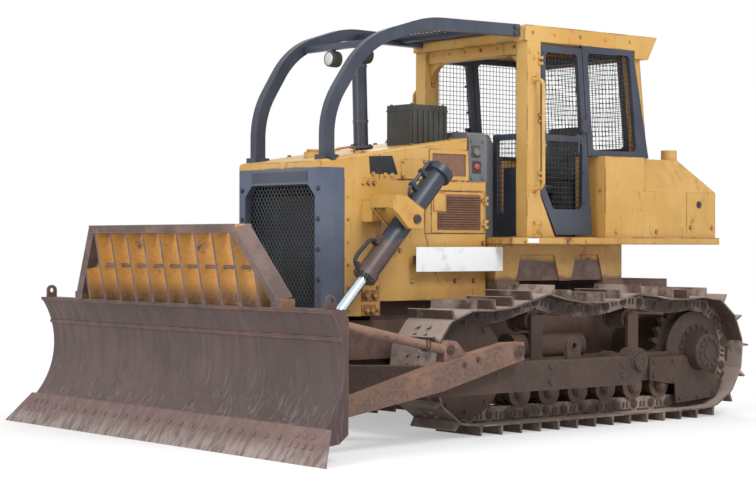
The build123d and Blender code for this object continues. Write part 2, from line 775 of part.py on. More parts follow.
def drawbar():
    half = DRAWBAR_WIDTH / 2
    pin_x = DRAWBAR_REAR + DRAWBAR_PIN_INSET
    bar = flat_plate([(CASE_REAR, half), (CASE_REAR, -half), (DRAWBAR_REAR + 60, -half), (DRAWBAR_REAR, -half + 60),
                      (DRAWBAR_REAR, half - 60), (DRAWBAR_REAR + 60, half)],
                     DRAWBAR_TOP - DRAWBAR_THICK, DRAWBAR_TOP)
    bar -= Pos(pin_x, 0, DRAWBAR_TOP - DRAWBAR_THICK / 2) * Cylinder(DRAWBAR_PIN_RADIUS, 2 * DRAWBAR_THICK)
    bar += block((CASE_REAR - 60, CASE_REAR), (-half - 60, half + 60), (DRAWBAR_TOP - 160, DRAWBAR_TOP + 60))
    return bar


# Engine, guard and hood
def engine_block():
    return block((ENGINE_REAR, ENGINE_FRONT), (-ENGINE_HALF, ENGINE_HALF), (FRAME_RAIL_TOP, ENGINE_TOP))


def grille_outline(shrink=0):
    half = NOSE_HALF - NOSE_WALL - shrink
    top = GRILLE_TOP - shrink
    low = GRILLE_BOTTOM + shrink
    return [(-half, low), (half, low), (half, top - GRILLE_CORNER), (half - GRILLE_CORNER, top),
            (-half + GRILLE_CORNER, top), (-half, top - GRILLE_CORNER)]


def radiator_guard():
    rear = NOSE_X - NOSE_DEPTH
    shell = block((rear, NOSE_X), (-NOSE_HALF, NOSE_HALF), (NOSE_BOTTOM, NOSE_TOP))
    shell -= front_plate(grille_outline(), NOSE_X - NOSE_DEPTH - 1, NOSE_X + 1)
    return shell + radiator_core()


def radiator_grille():
    """A plate with rows of diamond holes."""
    back = NOSE_X - GRILLE_SET_BACK
    reach = NOSE_HALF - NOSE_WALL
    half = GRILLE_HOLE / 2
    hole = outline([(-half, 0), (0, -half), (half, 0), (0, half)])
    holes = []
    for j in range(int(2 * (GRILLE_TOP - GRILLE_BOTTOM) / GRILLE_PITCH) - 1):
        z = GRILLE_BOTTOM + GRILLE_PITCH / 2 * (j + 1)
        for i in range(int(2 * reach / GRILLE_PITCH) + 1):
            y = GRILLE_PITCH * (i - int(reach / GRILLE_PITCH) + (j % 2) / 2)
            corner = abs(y) + z + half > reach + GRILLE_TOP - GRILLE_CORNER - GRILLE_RIM
            if abs(y) + half < reach - GRILLE_RIM and z + half < GRILLE_TOP - GRILLE_RIM and not corner:
                holes.append(Pos(y, z) * hole)
    return front_face(outline(grille_outline()) - holes, back - GRILLE_PLATE, back)


def radiator_core():
    rear = NOSE_X - NOSE_DEPTH
    half = NOSE_HALF - NOSE_WALL
    return block((rear, rear + CORE_DEPTH), (-half, half), (GRILLE_BOTTOM, GRILLE_TOP - GRILLE_CORNER))


def hood_profile(drop):
    """The hood's side view, moved down by the wall thickness for the inside."""
    return [(NOSE_X, NOSE_TOP), (NOSE_X, HOOD_NOSE_Z - 12 - drop), (HOOD_CAP_X, HOOD_NOSE_Z - drop),
            (HOOD_MID_X, HOOD_MID_Z - drop), (HOOD_REAR, HOOD_TOP_Z - drop), (HOOD_REAR, HOOD_SKIRT_Z),
            (NOSE_X - NOSE_DEPTH, HOOD_SKIRT_Z), (NOSE_X - NOSE_DEPTH, NOSE_TOP)]


def hood():
    solid = side_plate(hood_profile(0), -NOSE_HALF, NOSE_HALF)
    top = [e for e in solid.edges() if e.center().Z > HOOD_NOSE_Z - 4 and abs(e.center().Y) > NOSE_HALF - 1]
    solid = chamfer(top, 22)
    inside = [(NOSE_X - 40, NOSE_TOP - 200), (NOSE_X - 40, HOOD_NOSE_Z - 12 - 2 * HOOD_WALL),
              (HOOD_MID_X, HOOD_MID_Z - 2 * HOOD_WALL), (HOOD_REAR + HOOD_WALL, HOOD_TOP_Z - 2 * HOOD_WALL),
              (HOOD_REAR + HOOD_WALL, HOOD_SKIRT_Z - 1), (NOSE_X - NOSE_DEPTH, HOOD_SKIRT_Z - 1)]
    half = NOSE_HALF - HOOD_WALL
    solid -= side_plate(inside, -half, half)
    for side in (-1, 1):
        face = sorted((side * (NOSE_HALF - 1), side * (NOSE_HALF + PLATE_RISE)))
        solid += block(HATCH[:2], face, HATCH[2:])
        rim = block(SCREEN[:2], face, SCREEN[2:])
        rim -= block((SCREEN[0] + SCREEN_RIM, SCREEN[1] - SCREEN_RIM), (-NOSE_HALF - 50, NOSE_HALF + 50),
                     (SCREEN[2] + SCREEN_RIM, SCREEN[3] - SCREEN_RIM))
        solid += rim
    return solid


def hood_solid():
    return side_plate(hood_profile(0), -NOSE_HALF, NOSE_HALF)


def side_panel():
    front = NOSE_X - NOSE_DEPTH
    outer = NOSE_HALF
    panel = block((PANEL_REAR, front), (outer - PANEL_WALL, outer), (PANEL_BOTTOM, HOOD_SKIRT_Z))
    panel -= block((DOOR_REAR - DOOR_GAP, DOOR_FRONT + DOOR_GAP), (outer - 40, outer + 1),
                   (DOOR_BOTTOM - DOOR_GAP, DOOR_TOP + DOOR_GAP))
    panel += block((SIDE_PLATE_REAR, front), (outer - PANEL_WALL, outer + SIDE_PLATE_RISE),
                   (FRAME_RAIL_TOP + 40, HOOD_SKIRT_Z))
    panel += block((PANEL_REAR, PANEL_REAR + 40), (ENGINE_HALF, outer - PANEL_WALL),
                   (PANEL_BOTTOM, DOOR_BOTTOM - 40))
    for z in (PANEL_BOTTOM + 20, DOOR_BOTTOM - 60):
        panel += block((ENGINE_REAR + 100, ENGINE_REAR + 300), (ENGINE_HALF, outer - PANEL_WALL), (z, z + 40))
    for knuckle in hinge_knuckles(ENGINE_HINGE_X, outer, ENGINE_HINGE_Z, -1, False):
        panel += knuckle
    return panel


def hinge_axis_y(face):
    return face + HINGE_STAND_OFF + HINGE_RADIUS


def hinge_knuckles(x, face, heights, lean, moving):
    """Knuckles on an upright axis outside a panel's face, their leaves on the side that lean points to."""
    y = hinge_axis_y(face)
    third = HINGE_LENGTH / 3
    knuckles = []
    for z in heights:
        rows = (z,) if moving else (z - third, z + third)
        for middle in rows:
            half = third / 2 - SEAT_GAP / 2
            knuckle = Pos(x, y, middle) * Cylinder(HINGE_RADIUS, 2 * half)
            leaf_x = sorted((x + lean * HINGE_RADIUS * 0.5, x + lean * HINGE_LEAF))
            knuckle += block(leaf_x, (face - 2, y), (middle - half, middle + half))
            knuckles.append(knuckle)
    return knuckles


def engine_door():
    outer = NOSE_HALF
    door = block((DOOR_REAR, DOOR_FRONT), (outer - PANEL_WALL, outer), (DOOR_BOTTOM, DOOR_TOP))
    pitch = (DOOR_TOP - DOOR_BOTTOM - 60) / LOUVRE_COUNT
    for i in range(LOUVRE_COUNT):
        z = DOOR_BOTTOM + 34 + pitch * i
        end = LOUVRE_FRONT[0] if z < LOUVRE_STEP_Z else LOUVRE_FRONT[1]
        slat = front_plate([(outer - 1, z + LOUVRE_HEIGHT), (outer - 1, z), (outer + LOUVRE_DEPTH, z)],
                           DOOR_REAR + 45, end)
        door += slat
    door += block((LOUVRE_FRONT[1] + 20, DOOR_FRONT - 20), (outer - 1, outer + PLATE_RISE),
                  (LOUVRE_STEP_Z + 12, DOOR_TOP - 14))
    for knuckle in hinge_knuckles(ENGINE_HINGE_X, outer, ENGINE_HINGE_Z, 1, True):
        door += knuckle
    return door


def exhaust_stack():
    run = STACK_TOP - HOOD_MID_Z
    lean = run * math.tan(math.radians(STACK_LEAN))
    tube = round_bar((STACK_X, 0, HOOD_MID_Z - 60), (STACK_X + lean, 0, STACK_TOP), STACK_RADIUS)
    tube -= round_bar((STACK_X + lean * 0.5, 0, STACK_TOP - run / 2), (STACK_X + lean * 1.2, 0, STACK_TOP + run * 0.2),
                      STACK_RADIUS - 6)
    return tube - hood_solid()


def pre_cleaner():
    low = HOOD_MID_Z
    box = block(CLEANER_X, CLEANER_Y, (low, CLEANER_TOP))
    pitch = (CLEANER_X[1] - CLEANER_X[0]) / CLEANER_RIBS
    for i in range(CLEANER_RIBS):
        x = CLEANER_X[0] + pitch * (i + 0.5)
        box += block((x - 8, x + 8), (CLEANER_Y[0] - 10, CLEANER_Y[1] + 10), (low, CLEANER_TOP - 40))
    return box - hood_solid()


# Deck, fenders and tank
def deck():
    plate = block((TANK_REAR, DECK_FRONT), (-DECK_HALF, DECK_HALF), (DECK_BOTTOM, DECK_TOP))
    return plate


def deck_support():
    y0 = SUPPORT_Y - SUPPORT_PLATE
    rear = CASE_FRONT - OUTRIGGER_LENGTH
    plate = block((rear, DECK_FRONT), (y0, SUPPORT_Y), (CASE_TOP, DECK_BOTTOM))
    for x0, x1 in ((rear + 230, 980), (1120, DECK_FRONT - 230)):
        hole = side_plate([(x0, CASE_TOP - 1), (x1, CASE_TOP - 1), (x1 - 60, DECK_BOTTOM - 90),
                           (x0 + 60, DECK_BOTTOM - 90)], y0 - 1, SUPPORT_Y + 1)
        plate -= hole
    plate += block((rear, rear + 120), (CASE_HALF - 120, y0), (CASE_TOP, DECK_BOTTOM))
    plate += block((DECK_FRONT - 120, DECK_FRONT), (CASE_HALF - 120, y0), (CASE_TOP, DECK_BOTTOM))
    return plate


def tank_section():
    """The tank seen from behind, with sloped shoulders."""
    half = TANK_HALF
    return [(-half, DECK_TOP), (half, DECK_TOP), (half, TANK_RIDGE), (half - TANK_CHAMFER, TANK_TOP),
            (-half + TANK_CHAMFER, TANK_TOP), (-half, TANK_RIDGE)]


def fuel_tank():
    tank = front_plate(tank_section(), TANK_REAR, TANK_FRONT)
    slope = side_plate([(TANK_REAR - 1, TANK_RIDGE), (TANK_REAR + TANK_SLOPE, TANK_TOP + 1),
                        (TANK_REAR - 1, TANK_TOP + 1)], -TANK_HALF - 1, TANK_HALF + 1)
    cap = Pos(TANK_FRONT - CAP_INSET, CAP_Y, TANK_TOP + CAP_HEIGHT / 2) * Cylinder(CAP_RADIUS, CAP_HEIGHT)
    return tank - slope + cap


def fender():
    half = TANK_HALF
    front = block((FENDER_CHAMFER_FRONT, FENDER_FRONT), (FENDER_INNER, half), (DECK_TOP, TANK_TOP))
    rear = front_plate([(FENDER_INNER, DECK_TOP), (half, DECK_TOP), (half, TANK_RIDGE),
                        (half - TANK_CHAMFER, TANK_TOP), (FENDER_INNER, TANK_TOP)],
                       TANK_FRONT, FENDER_CHAMFER_FRONT)
    return front + rear


# Cab
def roof():
    """A shallow box on the posts, its rear end sloped."""
    solid = side_plate([(ROOF_REAR_FOOT, CAB_TOP), (ROOF_FRONT, CAB_TOP), (ROOF_FRONT, ROOF_TOP - ROOF_EDGE),
                        (ROOF_FRONT - ROOF_EDGE, ROOF_TOP), (ROOF_REAR, ROOF_TOP)], -CAB_HALF, CAB_HALF)
    drop = side_plate([(ROOF_DROP_X[0], ROOF_DROP_Z), (ROOF_DROP_X[1], ROOF_DROP_Z), (ROOF_DROP_X[1], CAB_TOP + 1),
                       (ROOF_REAR_FOOT - 1, CAB_TOP + 1)], -CAB_HALF, CAB_HALF)
    post = CAB_HALF - CAB_WALL
    drop -= block((REAR_POST_TOP_X[0] - 20, ROOF_DROP_X[1] + 1), (-post, post), (ROOF_DROP_Z - 1, CAB_TOP + 2))
    solid -= block((ROOF_REAR_FOOT + ROOF_BEAM, ROOF_FRONT - ROOF_BEAM - 30),
                   (-CAB_HALF + ROOF_BEAM, CAB_HALF - ROOF_BEAM), (CAB_TOP - 1, ROOF_TOP - ROOF_SKIN))
    return solid + (drop - cab_side() - mirror_y(cab_side()))


def cab_posts():
    """Front post and sloped rear post of one side, standing on the deck and the fender."""
    inner = CAB_HALF - POST_WIDTH
    front = block(POST_FRONT_X, (inner, CAB_HALF), (DECK_TOP, CAB_TOP)) + cab_sill()
    for knuckle in hinge_knuckles(CAB_HINGE_X, CAB_HALF, CAB_HINGE_Z, 1, False):
        front += knuckle
    rear = side_plate([(REAR_POST_FOOT_X[0], TANK_RIDGE), (REAR_POST_FOOT_X[1], TANK_RIDGE),
                       (REAR_POST_TOP_X[1], CAB_TOP), (REAR_POST_TOP_X[0], CAB_TOP)], inner, CAB_HALF - CAB_WALL)
    rear -= fender()
    return Compound(children=[front, rear])


def rear_x(z):
    """The rear post's front edge at a height."""
    t = (z - TANK_RIDGE) / (CAB_TOP - TANK_RIDGE)
    return REAR_POST_FOOT_X[1] + (REAR_POST_TOP_X[1] - REAR_POST_FOOT_X[1]) * t


def door_rear_x(z):
    """The cab door's rear edge at a height."""
    t = (z - CAB_DOOR_BOTTOM) / (CAB_DOOR_TOP - CAB_DOOR_BOTTOM)
    return CAB_DOOR_REAR_FOOT + (CAB_DOOR_REAR_TOP - CAB_DOOR_REAR_FOOT) * t


def cab_side():
    """Fixed side wall: the divider behind the door, the rear window and the sill corner."""
    inner = CAB_HALF - CAB_WALL
    sill = TANK_TOP
    gap = CAB_DOOR_GAP
    wall = side_plate([(SIDE_REAR_FOOT, sill), (door_rear_x(sill) - gap, sill),
                       (door_rear_x(CAB_TOP) - gap, CAB_TOP), (SIDE_REAR_TOP, CAB_TOP)], inner, CAB_HALF)
    low = sill + WINDOW_RAIL
    high = CAB_TOP - WINDOW_RAIL
    window = rounded([(rear_x(low) + WINDOW_RAIL, low), (door_rear_x(low) - gap - DIVIDER, low),
                      (door_rear_x(high) - gap - DIVIDER, high), (rear_x(high) + WINDOW_RAIL, high)], WINDOW_CORNER)
    wall -= side_face(window, inner - 1, CAB_HALF + 1)
    return wall


def cab_door_outline(inset):
    g = inset
    return [(CAB_DOOR_KNEE_X + 0.6 * g, CAB_DOOR_BOTTOM + g), (CAB_DOOR_FRONT - g, CAB_DOOR_KNEE_Z + 0.6 * g),
            (CAB_DOOR_FRONT - g, CAB_DOOR_TOP - g), (door_rear_x(CAB_DOOR_TOP - g) + g, CAB_DOOR_TOP - g),
            (door_rear_x(CAB_DOOR_BOTTOM + g) + g, CAB_DOOR_BOTTOM + g)]


def cab_sill():
    """The door frame round the door: the sill corner ahead of the knee and the header."""
    inner = CAB_HALF - CAB_WALL
    gap = CAB_DOOR_GAP
    wall = side_plate([(CAB_DOOR_KNEE_X + gap * 2, DECK_TOP), (POST_FRONT_X[0], DECK_TOP),
                       (POST_FRONT_X[0], CAB_DOOR_KNEE_Z - gap), (CAB_DOOR_FRONT + gap / 2, CAB_DOOR_KNEE_Z - 2 * gap)],
                      inner, CAB_HALF)
    return wall


def cab_door():
    inner = CAB_HALF - CAB_WALL
    door = side_plate(cab_door_outline(0), inner, CAB_HALF)
    split = DOOR_SPLIT_Z
    foot = DOOR_PANE_FOOT_Z
    rail = WINDOW_RAIL
    front = CAB_DOOR_FRONT - rail
    upper = [(front, split + rail / 2), (front, CAB_DOOR_TOP - rail),
             (door_rear_x(CAB_DOOR_TOP) + rail, CAB_DOOR_TOP - rail),
             (door_rear_x(split) + rail, split + rail / 2)]
    lower = [(front, split - rail / 2), (door_rear_x(split) + rail, split - rail / 2),
             (door_rear_x(foot) + 2 * rail, foot), (front - DOOR_PANE_CUT, foot),
             (front, CAB_DOOR_KNEE_Z + rail)]
    for window in (upper, lower):
        door -= side_face(rounded(window, WINDOW_CORNER), inner - 1, CAB_HALF + 1)
    latch = door_rear_x(sum(LATCH_Z) / 2) + LATCH_INSET
    door += block((latch, latch + LATCH_WIDTH), (CAB_HALF, CAB_HALF + LATCH_DEPTH), LATCH_Z)
    for knuckle in hinge_knuckles(CAB_HINGE_X, CAB_HALF, CAB_HINGE_Z, -1, True):
        door += knuckle
    return door


def cab_front():
    """Low front wall beside the console, with a stepped window on each side."""
    half = CAB_HALF - POST_WIDTH
    x0 = FRONT_WALL_X
    x1 = FRONT_WALL_X + FRONT_WALL
    wall = block((x0, x1), (-half, half), (DECK_TOP, CONSOLE_TOP))
    rail = WINDOW_RAIL
    low = DECK_TOP + 4 * rail
    high = CONSOLE_TOP - rail
    step_z = low + (high - low) * 0.62
    for side in (-1, 1):
        y = side * (half - rail)
        inner = side * (CONSOLE_HALF + rail)
        step = side * (CONSOLE_HALF + 2.6 * rail)
        pane = [(inner, low), (step, low), (step, step_z), (y, step_z), (y, high), (inner, high)]
        wall -= front_face(rounded(pane, WINDOW_CORNER / 3), x0 - 1, x1 + 1)
    return wall - block((x0 - 1, x1 + 1), (-CONSOLE_HALF, CONSOLE_HALF), (DECK_TOP - 1, CONSOLE_TOP + 1))


def cab_header():
    """The beam over the windscreen, with a curved gusset at each post."""
    half = CAB_HALF - POST_WIDTH
    low = CAB_TOP - HEADER_DEPTH
    beam = block(HEADER_X, (-half, half), (low, CAB_TOP))
    for side in (-1, 1):
        y = sorted((side * half, side * (half - GUSSET)))
        gusset = outline(rectangle(y[0], y[1], low - GUSSET, low + 1))
        gusset -= Pos(side * (half - GUSSET), low - GUSSET) * Circle(GUSSET)
        beam += front_face(gusset, GUSSET_X[0], GUSSET_X[1])
    return beam


def cab_rear():
    inner = CAB_HALF - POST_WIDTH
    wall = side_plate([(rear_x(TANK_TOP) - 40, TANK_TOP), (rear_x(TANK_TOP), TANK_TOP), (rear_x(CAB_TOP), CAB_TOP),
                       (rear_x(CAB_TOP) - 40, CAB_TOP)], -inner, inner)
    window = rounded(rectangle(-inner + 60, inner - 60, TANK_TOP + 90, CAB_TOP - 60), WINDOW_CORNER)
    wall -= front_face(window, -500, 900)
    wall += block((rear_x(TANK_TOP) - 60, rear_x(TANK_TOP)), (-FENDER_INNER, FENDER_INNER), (DECK_TOP, TANK_TOP))
    return wall


def console():
    box = block((FRONT_WALL_X - 60, CONSOLE_FRONT), (-CONSOLE_HALF, CONSOLE_HALF), (DECK_TOP, CONSOLE_TOP))
    box = box - side_plate([(FRONT_WALL_X - 61, CONSOLE_TOP - 200), (FRONT_WALL_X + 80, CONSOLE_TOP + 1),
                            (FRONT_WALL_X - 61, CONSOLE_TOP + 1)], -CONSOLE_HALF - 1, CONSOLE_HALF + 1)
    return box


def cowl():
    """The instrument cowl between the console and the hood."""
    solid = block((CONSOLE_FRONT + SEAT_GAP, HOOD_REAR - SEAT_GAP), (-COWL_HALF, COWL_HALF), (HOOD_SKIRT_Z, COWL_TOP))
    ridge = [e for e in solid.edges() if e.center().Z > COWL_TOP - 1 and abs(e.center().Y) > COWL_HALF - 1]
    return chamfer(ridge, COWL_EDGE)


def seat_base():
    half = SEAT_HALF - SEAT_BASE_INSET
    return block((SEAT_X - SEAT_BASE_X[0], SEAT_X + SEAT_BASE_X[1]), (-half, half), (DECK_TOP, SEAT_BASE_TOP))


def seat_cushion():
    return block((SEAT_X - SEAT_LENGTH / 2, SEAT_X + SEAT_LENGTH / 2), (-SEAT_HALF, SEAT_HALF),
                 (SEAT_BASE_TOP, SEAT_BASE_TOP + CUSHION))


def seat_back():
    low = SEAT_BASE_TOP + CUSHION
    rear = SEAT_X - SEAT_LENGTH / 2
    return side_plate([(rear, low), (rear + BACK_FOOT, low), (rear - BACK_LEAN + BACK_HEAD, BACK_TOP),
                       (rear - BACK_LEAN, BACK_TOP)],
                      -SEAT_HALF, SEAT_HALF)


def control_levers():
    inner = SEAT_HALF + LEVER_BOX_GAP
    top = SEAT_BASE_TOP + LEVER_BOX_RISE
    y = inner + LEVER_BOX_WIDTH / 2
    levers = block((SEAT_X - LEVER_BOX_X[0], SEAT_X + LEVER_BOX_X[1]), (inner, inner + LEVER_BOX_WIDTH),
                   (DECK_TOP, top))
    for i in range(LEVER_COUNT):
        x = SEAT_X + LEVER_X0 + LEVER_PITCH * i
        levers += Pos(x, y, top + LEVER_LENGTH / 2 - LEVER_SUNK) * Cylinder(LEVER_RADIUS, LEVER_LENGTH)
        levers += Pos(x, y, top + LEVER_LENGTH - LEVER_SUNK + KNOB_RISE) * Cylinder(KNOB_RADIUS, KNOB_LENGTH)
    return levers


def grab_handle():
    x = (POST_FRONT_X[0] + POST_FRONT_X[1]) / 2
    out = CAB_HALF + HANDLE_REACH
    foot, top = HANDLE_Z
    path = FilletPolyline((x, CAB_HALF, top), (x, out, top), (x, out, foot), (x, CAB_HALF, foot), radius=HANDLE_BEND)
    return sweep(Plane(origin=path @ 0, z_dir=path % 0) * Circle(HANDLE_RADIUS), path)


# Limb guards
def sweep_guard():
    """One limb guard: a square tube in a plane that opens from the nose to the roof, on its foot."""
    run = SWEEP_FOOT_X - ROOF_FRONT
    slope = (SWEEP_END_Y - SWEEP_FOOT_Y) / run

    def at(x, z):
        return (x, SWEEP_FOOT_Y + (SWEEP_FOOT_X - x) * slope, z)

    points = [at(SWEEP_FOOT_X, SWEEP_FOOT_Z)] + [at(x, z) for z, x in SWEEP_CORNERS]
    points.append(at(ROOF_FRONT, SWEEP_TOP_Z))
    path = FilletPolyline(*points, radius=SWEEP_RADII)
    section = Plane(origin=path @ 0, x_dir=(slope, 1, 0), z_dir=path % 0)
    tube = sweep(section * Rectangle(SWEEP_WIDTH, SWEEP_DEPTH), path)
    tube -= block((ROOF_FRONT - SWEEP_WIDTH * 2, ROOF_FRONT), (0, 2 * SWEEP_END_Y),
                  (SWEEP_TOP_Z - SWEEP_DEPTH * 2, SWEEP_TOP_Z + SWEEP_DEPTH * 2))
    return tube + sweep_foot()


def sweep_foot():
    foot = block((SWEEP_FOOT_X - SWEEP_PAD_X, SWEEP_FOOT_X + SWEEP_PAD_X),
                 (SWEEP_FOOT_Y - SWEEP_PAD_Y, SWEEP_FOOT_Y + SWEEP_PAD_Y), (HOOD_NOSE_Z - SWEEP_PAD_Y, SWEEP_FOOT_Z))
    return foot - hood_solid()


def cross_bars():
    run = SWEEP_FOOT_X - ROOF_FRONT
    slope = (SWEEP_END_Y - SWEEP_FOOT_Y) / run
    guard_half = SWEEP_WIDTH / 2 * math.hypot(1, slope)
    bars = []
    for x, z in zip(CROSS_BAR_X, CROSS_BAR_Z):
        half = SWEEP_FOOT_Y + (SWEEP_FOOT_X - x - CROSS_BAR / 2) * slope - guard_half - SEAT_GAP
        bars.append(block((x - CROSS_BAR / 2, x + CROSS_BAR / 2), (-half, half),
                          (z - CROSS_BAR / 2, z + CROSS_BAR / 2)))
    return Compound(children=bars)


def work_lamps():
    lamps = []
    x = CROSS_BAR_X[0]
    z = CROSS_BAR_Z[0] - CROSS_BAR / 2
    half = LAMP_STEM / 2
    for y in LAMP_Y:
        body = Pos(x, y, z - LAMP_RADIUS - LAMP_GAP) * Rot(0, 90, 0) * Cylinder(LAMP_RADIUS, LAMP_DEPTH)
        lamps.append(body + block((x - half, x + half), (y - half, y + half), (z - LAMP_STEM, z)))
    return Compound(children=lamps)


# Blade
def down_blade(length, back=0):
    """A point down the flat lower face from the knee, and behind it."""
    run = (BLADE_TIP_X - BLADE_KNEE[0], -BLADE_KNEE[1])
    size = math.hypot(*run)
    d = (run[0] / size, run[1] / size)
    return (BLADE_KNEE[0] + d[0] * length + d[1] * back, BLADE_KNEE[1] + d[1] * length - d[0] * back)


def blade_face(points):
    """The curved face's outline: arcs down from the top, then the given points back up."""
    top, middle, knee = BLADE_TOP, BLADE_MIDDLE, down_blade(0)
    back_knee = down_blade(0, EDGE_PLATE + BLADE_PLATE)
    front = ThreePointArc(top, middle, knee)
    back = ThreePointArc(back_knee, (middle[0] - BLADE_PLATE, middle[1]), (top[0] - BLADE_PLATE, top[1]))
    lines = [front]
    corners = [knee] + points + [back_knee]
    for a, b in zip(corners, corners[1:]):
        lines.append(Line(a, b))
    lines.append(back)
    lines.append(Line((top[0] - BLADE_PLATE, top[1]), top))
    return make_face(Curve() + lines)


def edge_profile():
    """The cutting edge in side view, its underside flat on the ground."""
    size = math.hypot(BLADE_TIP_X - BLADE_KNEE[0], BLADE_KNEE[1])
    heel = down_blade(size, EDGE_PLATE)
    heel = down_blade(size + heel[1] * size / BLADE_KNEE[1], EDGE_PLATE)
    return [down_blade(0), (BLADE_TIP_X, 0), (heel[0], 0), down_blade(0, EDGE_PLATE)]


def moldboard():
    foot = [down_blade(0, EDGE_PLATE), down_blade(190, EDGE_PLATE), down_blade(190, EDGE_PLATE + BLADE_PLATE)]
    face = side_face(blade_face(foot), -BLADE_HALF, BLADE_HALF)
    rear = BLADE_BACK
    for y0 in [-BLADE_HALF] + [y - BLADE_WALL / 2 for y in RIB_Y] + [BLADE_HALF - BLADE_WALL]:
        rib = side_plate([(BLADE_TOP[0] - BLADE_PLATE, BLADE_TOP[1]), (rear + 60, BLADE_TOP[1]),
                          (rear, BLADE_TOP[1] - 60), (rear, BLADE_FOOT + 60), (rear + 80, BLADE_FOOT),
                          down_blade(130, EDGE_PLATE + BLADE_PLATE / 2), down_blade(0, EDGE_PLATE + BLADE_PLATE / 2),
                          (BLADE_MIDDLE[0] + 30, 400), (BLADE_MIDDLE[0] - BLADE_PLATE / 2, BLADE_MIDDLE[1]),
                          (BLADE_MIDDLE[0] + 22, 860)], y0, y0 + BLADE_WALL)
        face += rib
    for z, front in SHELVES:
        face += block((rear + 2, front), (-BLADE_HALF, BLADE_HALF), (z, z + BLADE_WALL))
    face += block((rear + 2, rear + 2 + BLADE_WALL), (-BLADE_HALF, BLADE_HALF),
                  (SHELVES[0][0], SHELVES[1][0] + BLADE_WALL))
    for x, y, z, radius in ball_seats():
        face += ball_socket(x, y, z, radius)
    return face


def cutting_edge():
    """Three bolted edges and the two end bits."""
    pieces = [end_bit(), mirror_y(end_bit())]
    seam = EDGE_SEAM + EDGE_GAP / 2
    end = BIT_INNER - EDGE_GAP
    for y0, y1 in ((-end, -seam), (EDGE_GAP - seam, seam - EDGE_GAP), (seam, end)):
        pieces.append(side_plate(edge_profile(), y0, y1))
    return Compound(children=pieces)


def end_bit():
    bit = side_plate(edge_profile(), BIT_INNER, BIT_TIP)
    knee_x = BLADE_KNEE[0] - 30
    bit -= flat_plate([(knee_x - 40, BLADE_HALF), (BLADE_TIP_X + 1, BIT_TIP),
                       (BLADE_TIP_X + 1, BIT_TIP + 200), (knee_x - 40, BIT_TIP + 200)], -10, BLADE_KNEE[1] + 10)
    return bit


def lifting_eye(side):
    x = EYE_X
    z = BLADE_TOP[1] + EYE_RADIUS + 14
    y0 = side * EYE_Y - EYE_PLATE / 2
    y1 = side * EYE_Y + EYE_PLATE / 2
    eye = shaft(x, z, EYE_RADIUS, y0, y1)
    eye += block((x - EYE_RADIUS, x + EYE_RADIUS), (y0, y1), (BLADE_TOP[1], z))
    return eye - shaft(x, z, EYE_HOLE, y0 - 1, y1 + 1)


def lifting_eyes():
    """The two slinging eyes on the blade's top edge."""
    return Compound(children=[lifting_eye(-1), lifting_eye(1)])


def rack_x(z):
    """The rack's leaning front at a height."""
    return RACK_TOP_X - RACK_LEAN * (RACK_TOP - z) / (RACK_TOP - BLADE_TOP[1])


def rack_fin(y, top):
    foot_z = BLADE_TOP[1]
    depth = RACK_FOOT_DEPTH + (RACK_DEPTH - RACK_FOOT_DEPTH) * (top - foot_z) / (RACK_TOP - foot_z)
    return side_plate([(rack_x(foot_z), foot_z), (rack_x(top), top), (rack_x(top) - depth, top),
                       (rack_x(foot_z) - RACK_FOOT_DEPTH, foot_z)], y - RACK_FIN / 2, y + RACK_FIN / 2)


def trash_rack():
    foot_z = BLADE_TOP[1]
    foot_x = rack_x(foot_z)
    rack = block((RACK_TOP_X - RACK_DEPTH, RACK_TOP_X), (-RACK_HALF_TOP, RACK_HALF_TOP), (RACK_TOP - 60, RACK_TOP))
    start = -RACK_PITCH * (RACK_FINS - 1) / 2
    for i in range(RACK_FINS):
        rack += rack_fin(start + RACK_PITCH * i, RACK_TOP - 5)
    half = abs(start) + RACK_FIN / 2 + 110
    rack += shaft(rack_x(RACK_ROD_Z) - 60, RACK_ROD_Z, RACK_ROD_RADIUS, -half, half)
    rise = (RACK_TOP - foot_z) / (RACK_HALF_FOOT - RACK_HALF_TOP)
    for side in (-1, 1):
        rack += square_bar((RACK_TOP_X - 66, side * (RACK_HALF_TOP - 30), RACK_TOP - 30),
                           (foot_x - 66, side * RACK_HALF_FOOT, foot_z + 40), RACK_CHANNEL, 130)
        rack += rack_fin(side * RACK_END_FIN_Y, RACK_TOP - (RACK_END_FIN_Y - RACK_HALF_TOP + 30) * rise)
        rack += block((foot_x - 130, foot_x), tuple(sorted((side * (RACK_HALF_FOOT - 50), side * (RACK_HALF_FOOT + 50)))),
                      (foot_z, foot_z + 60))
    return rack


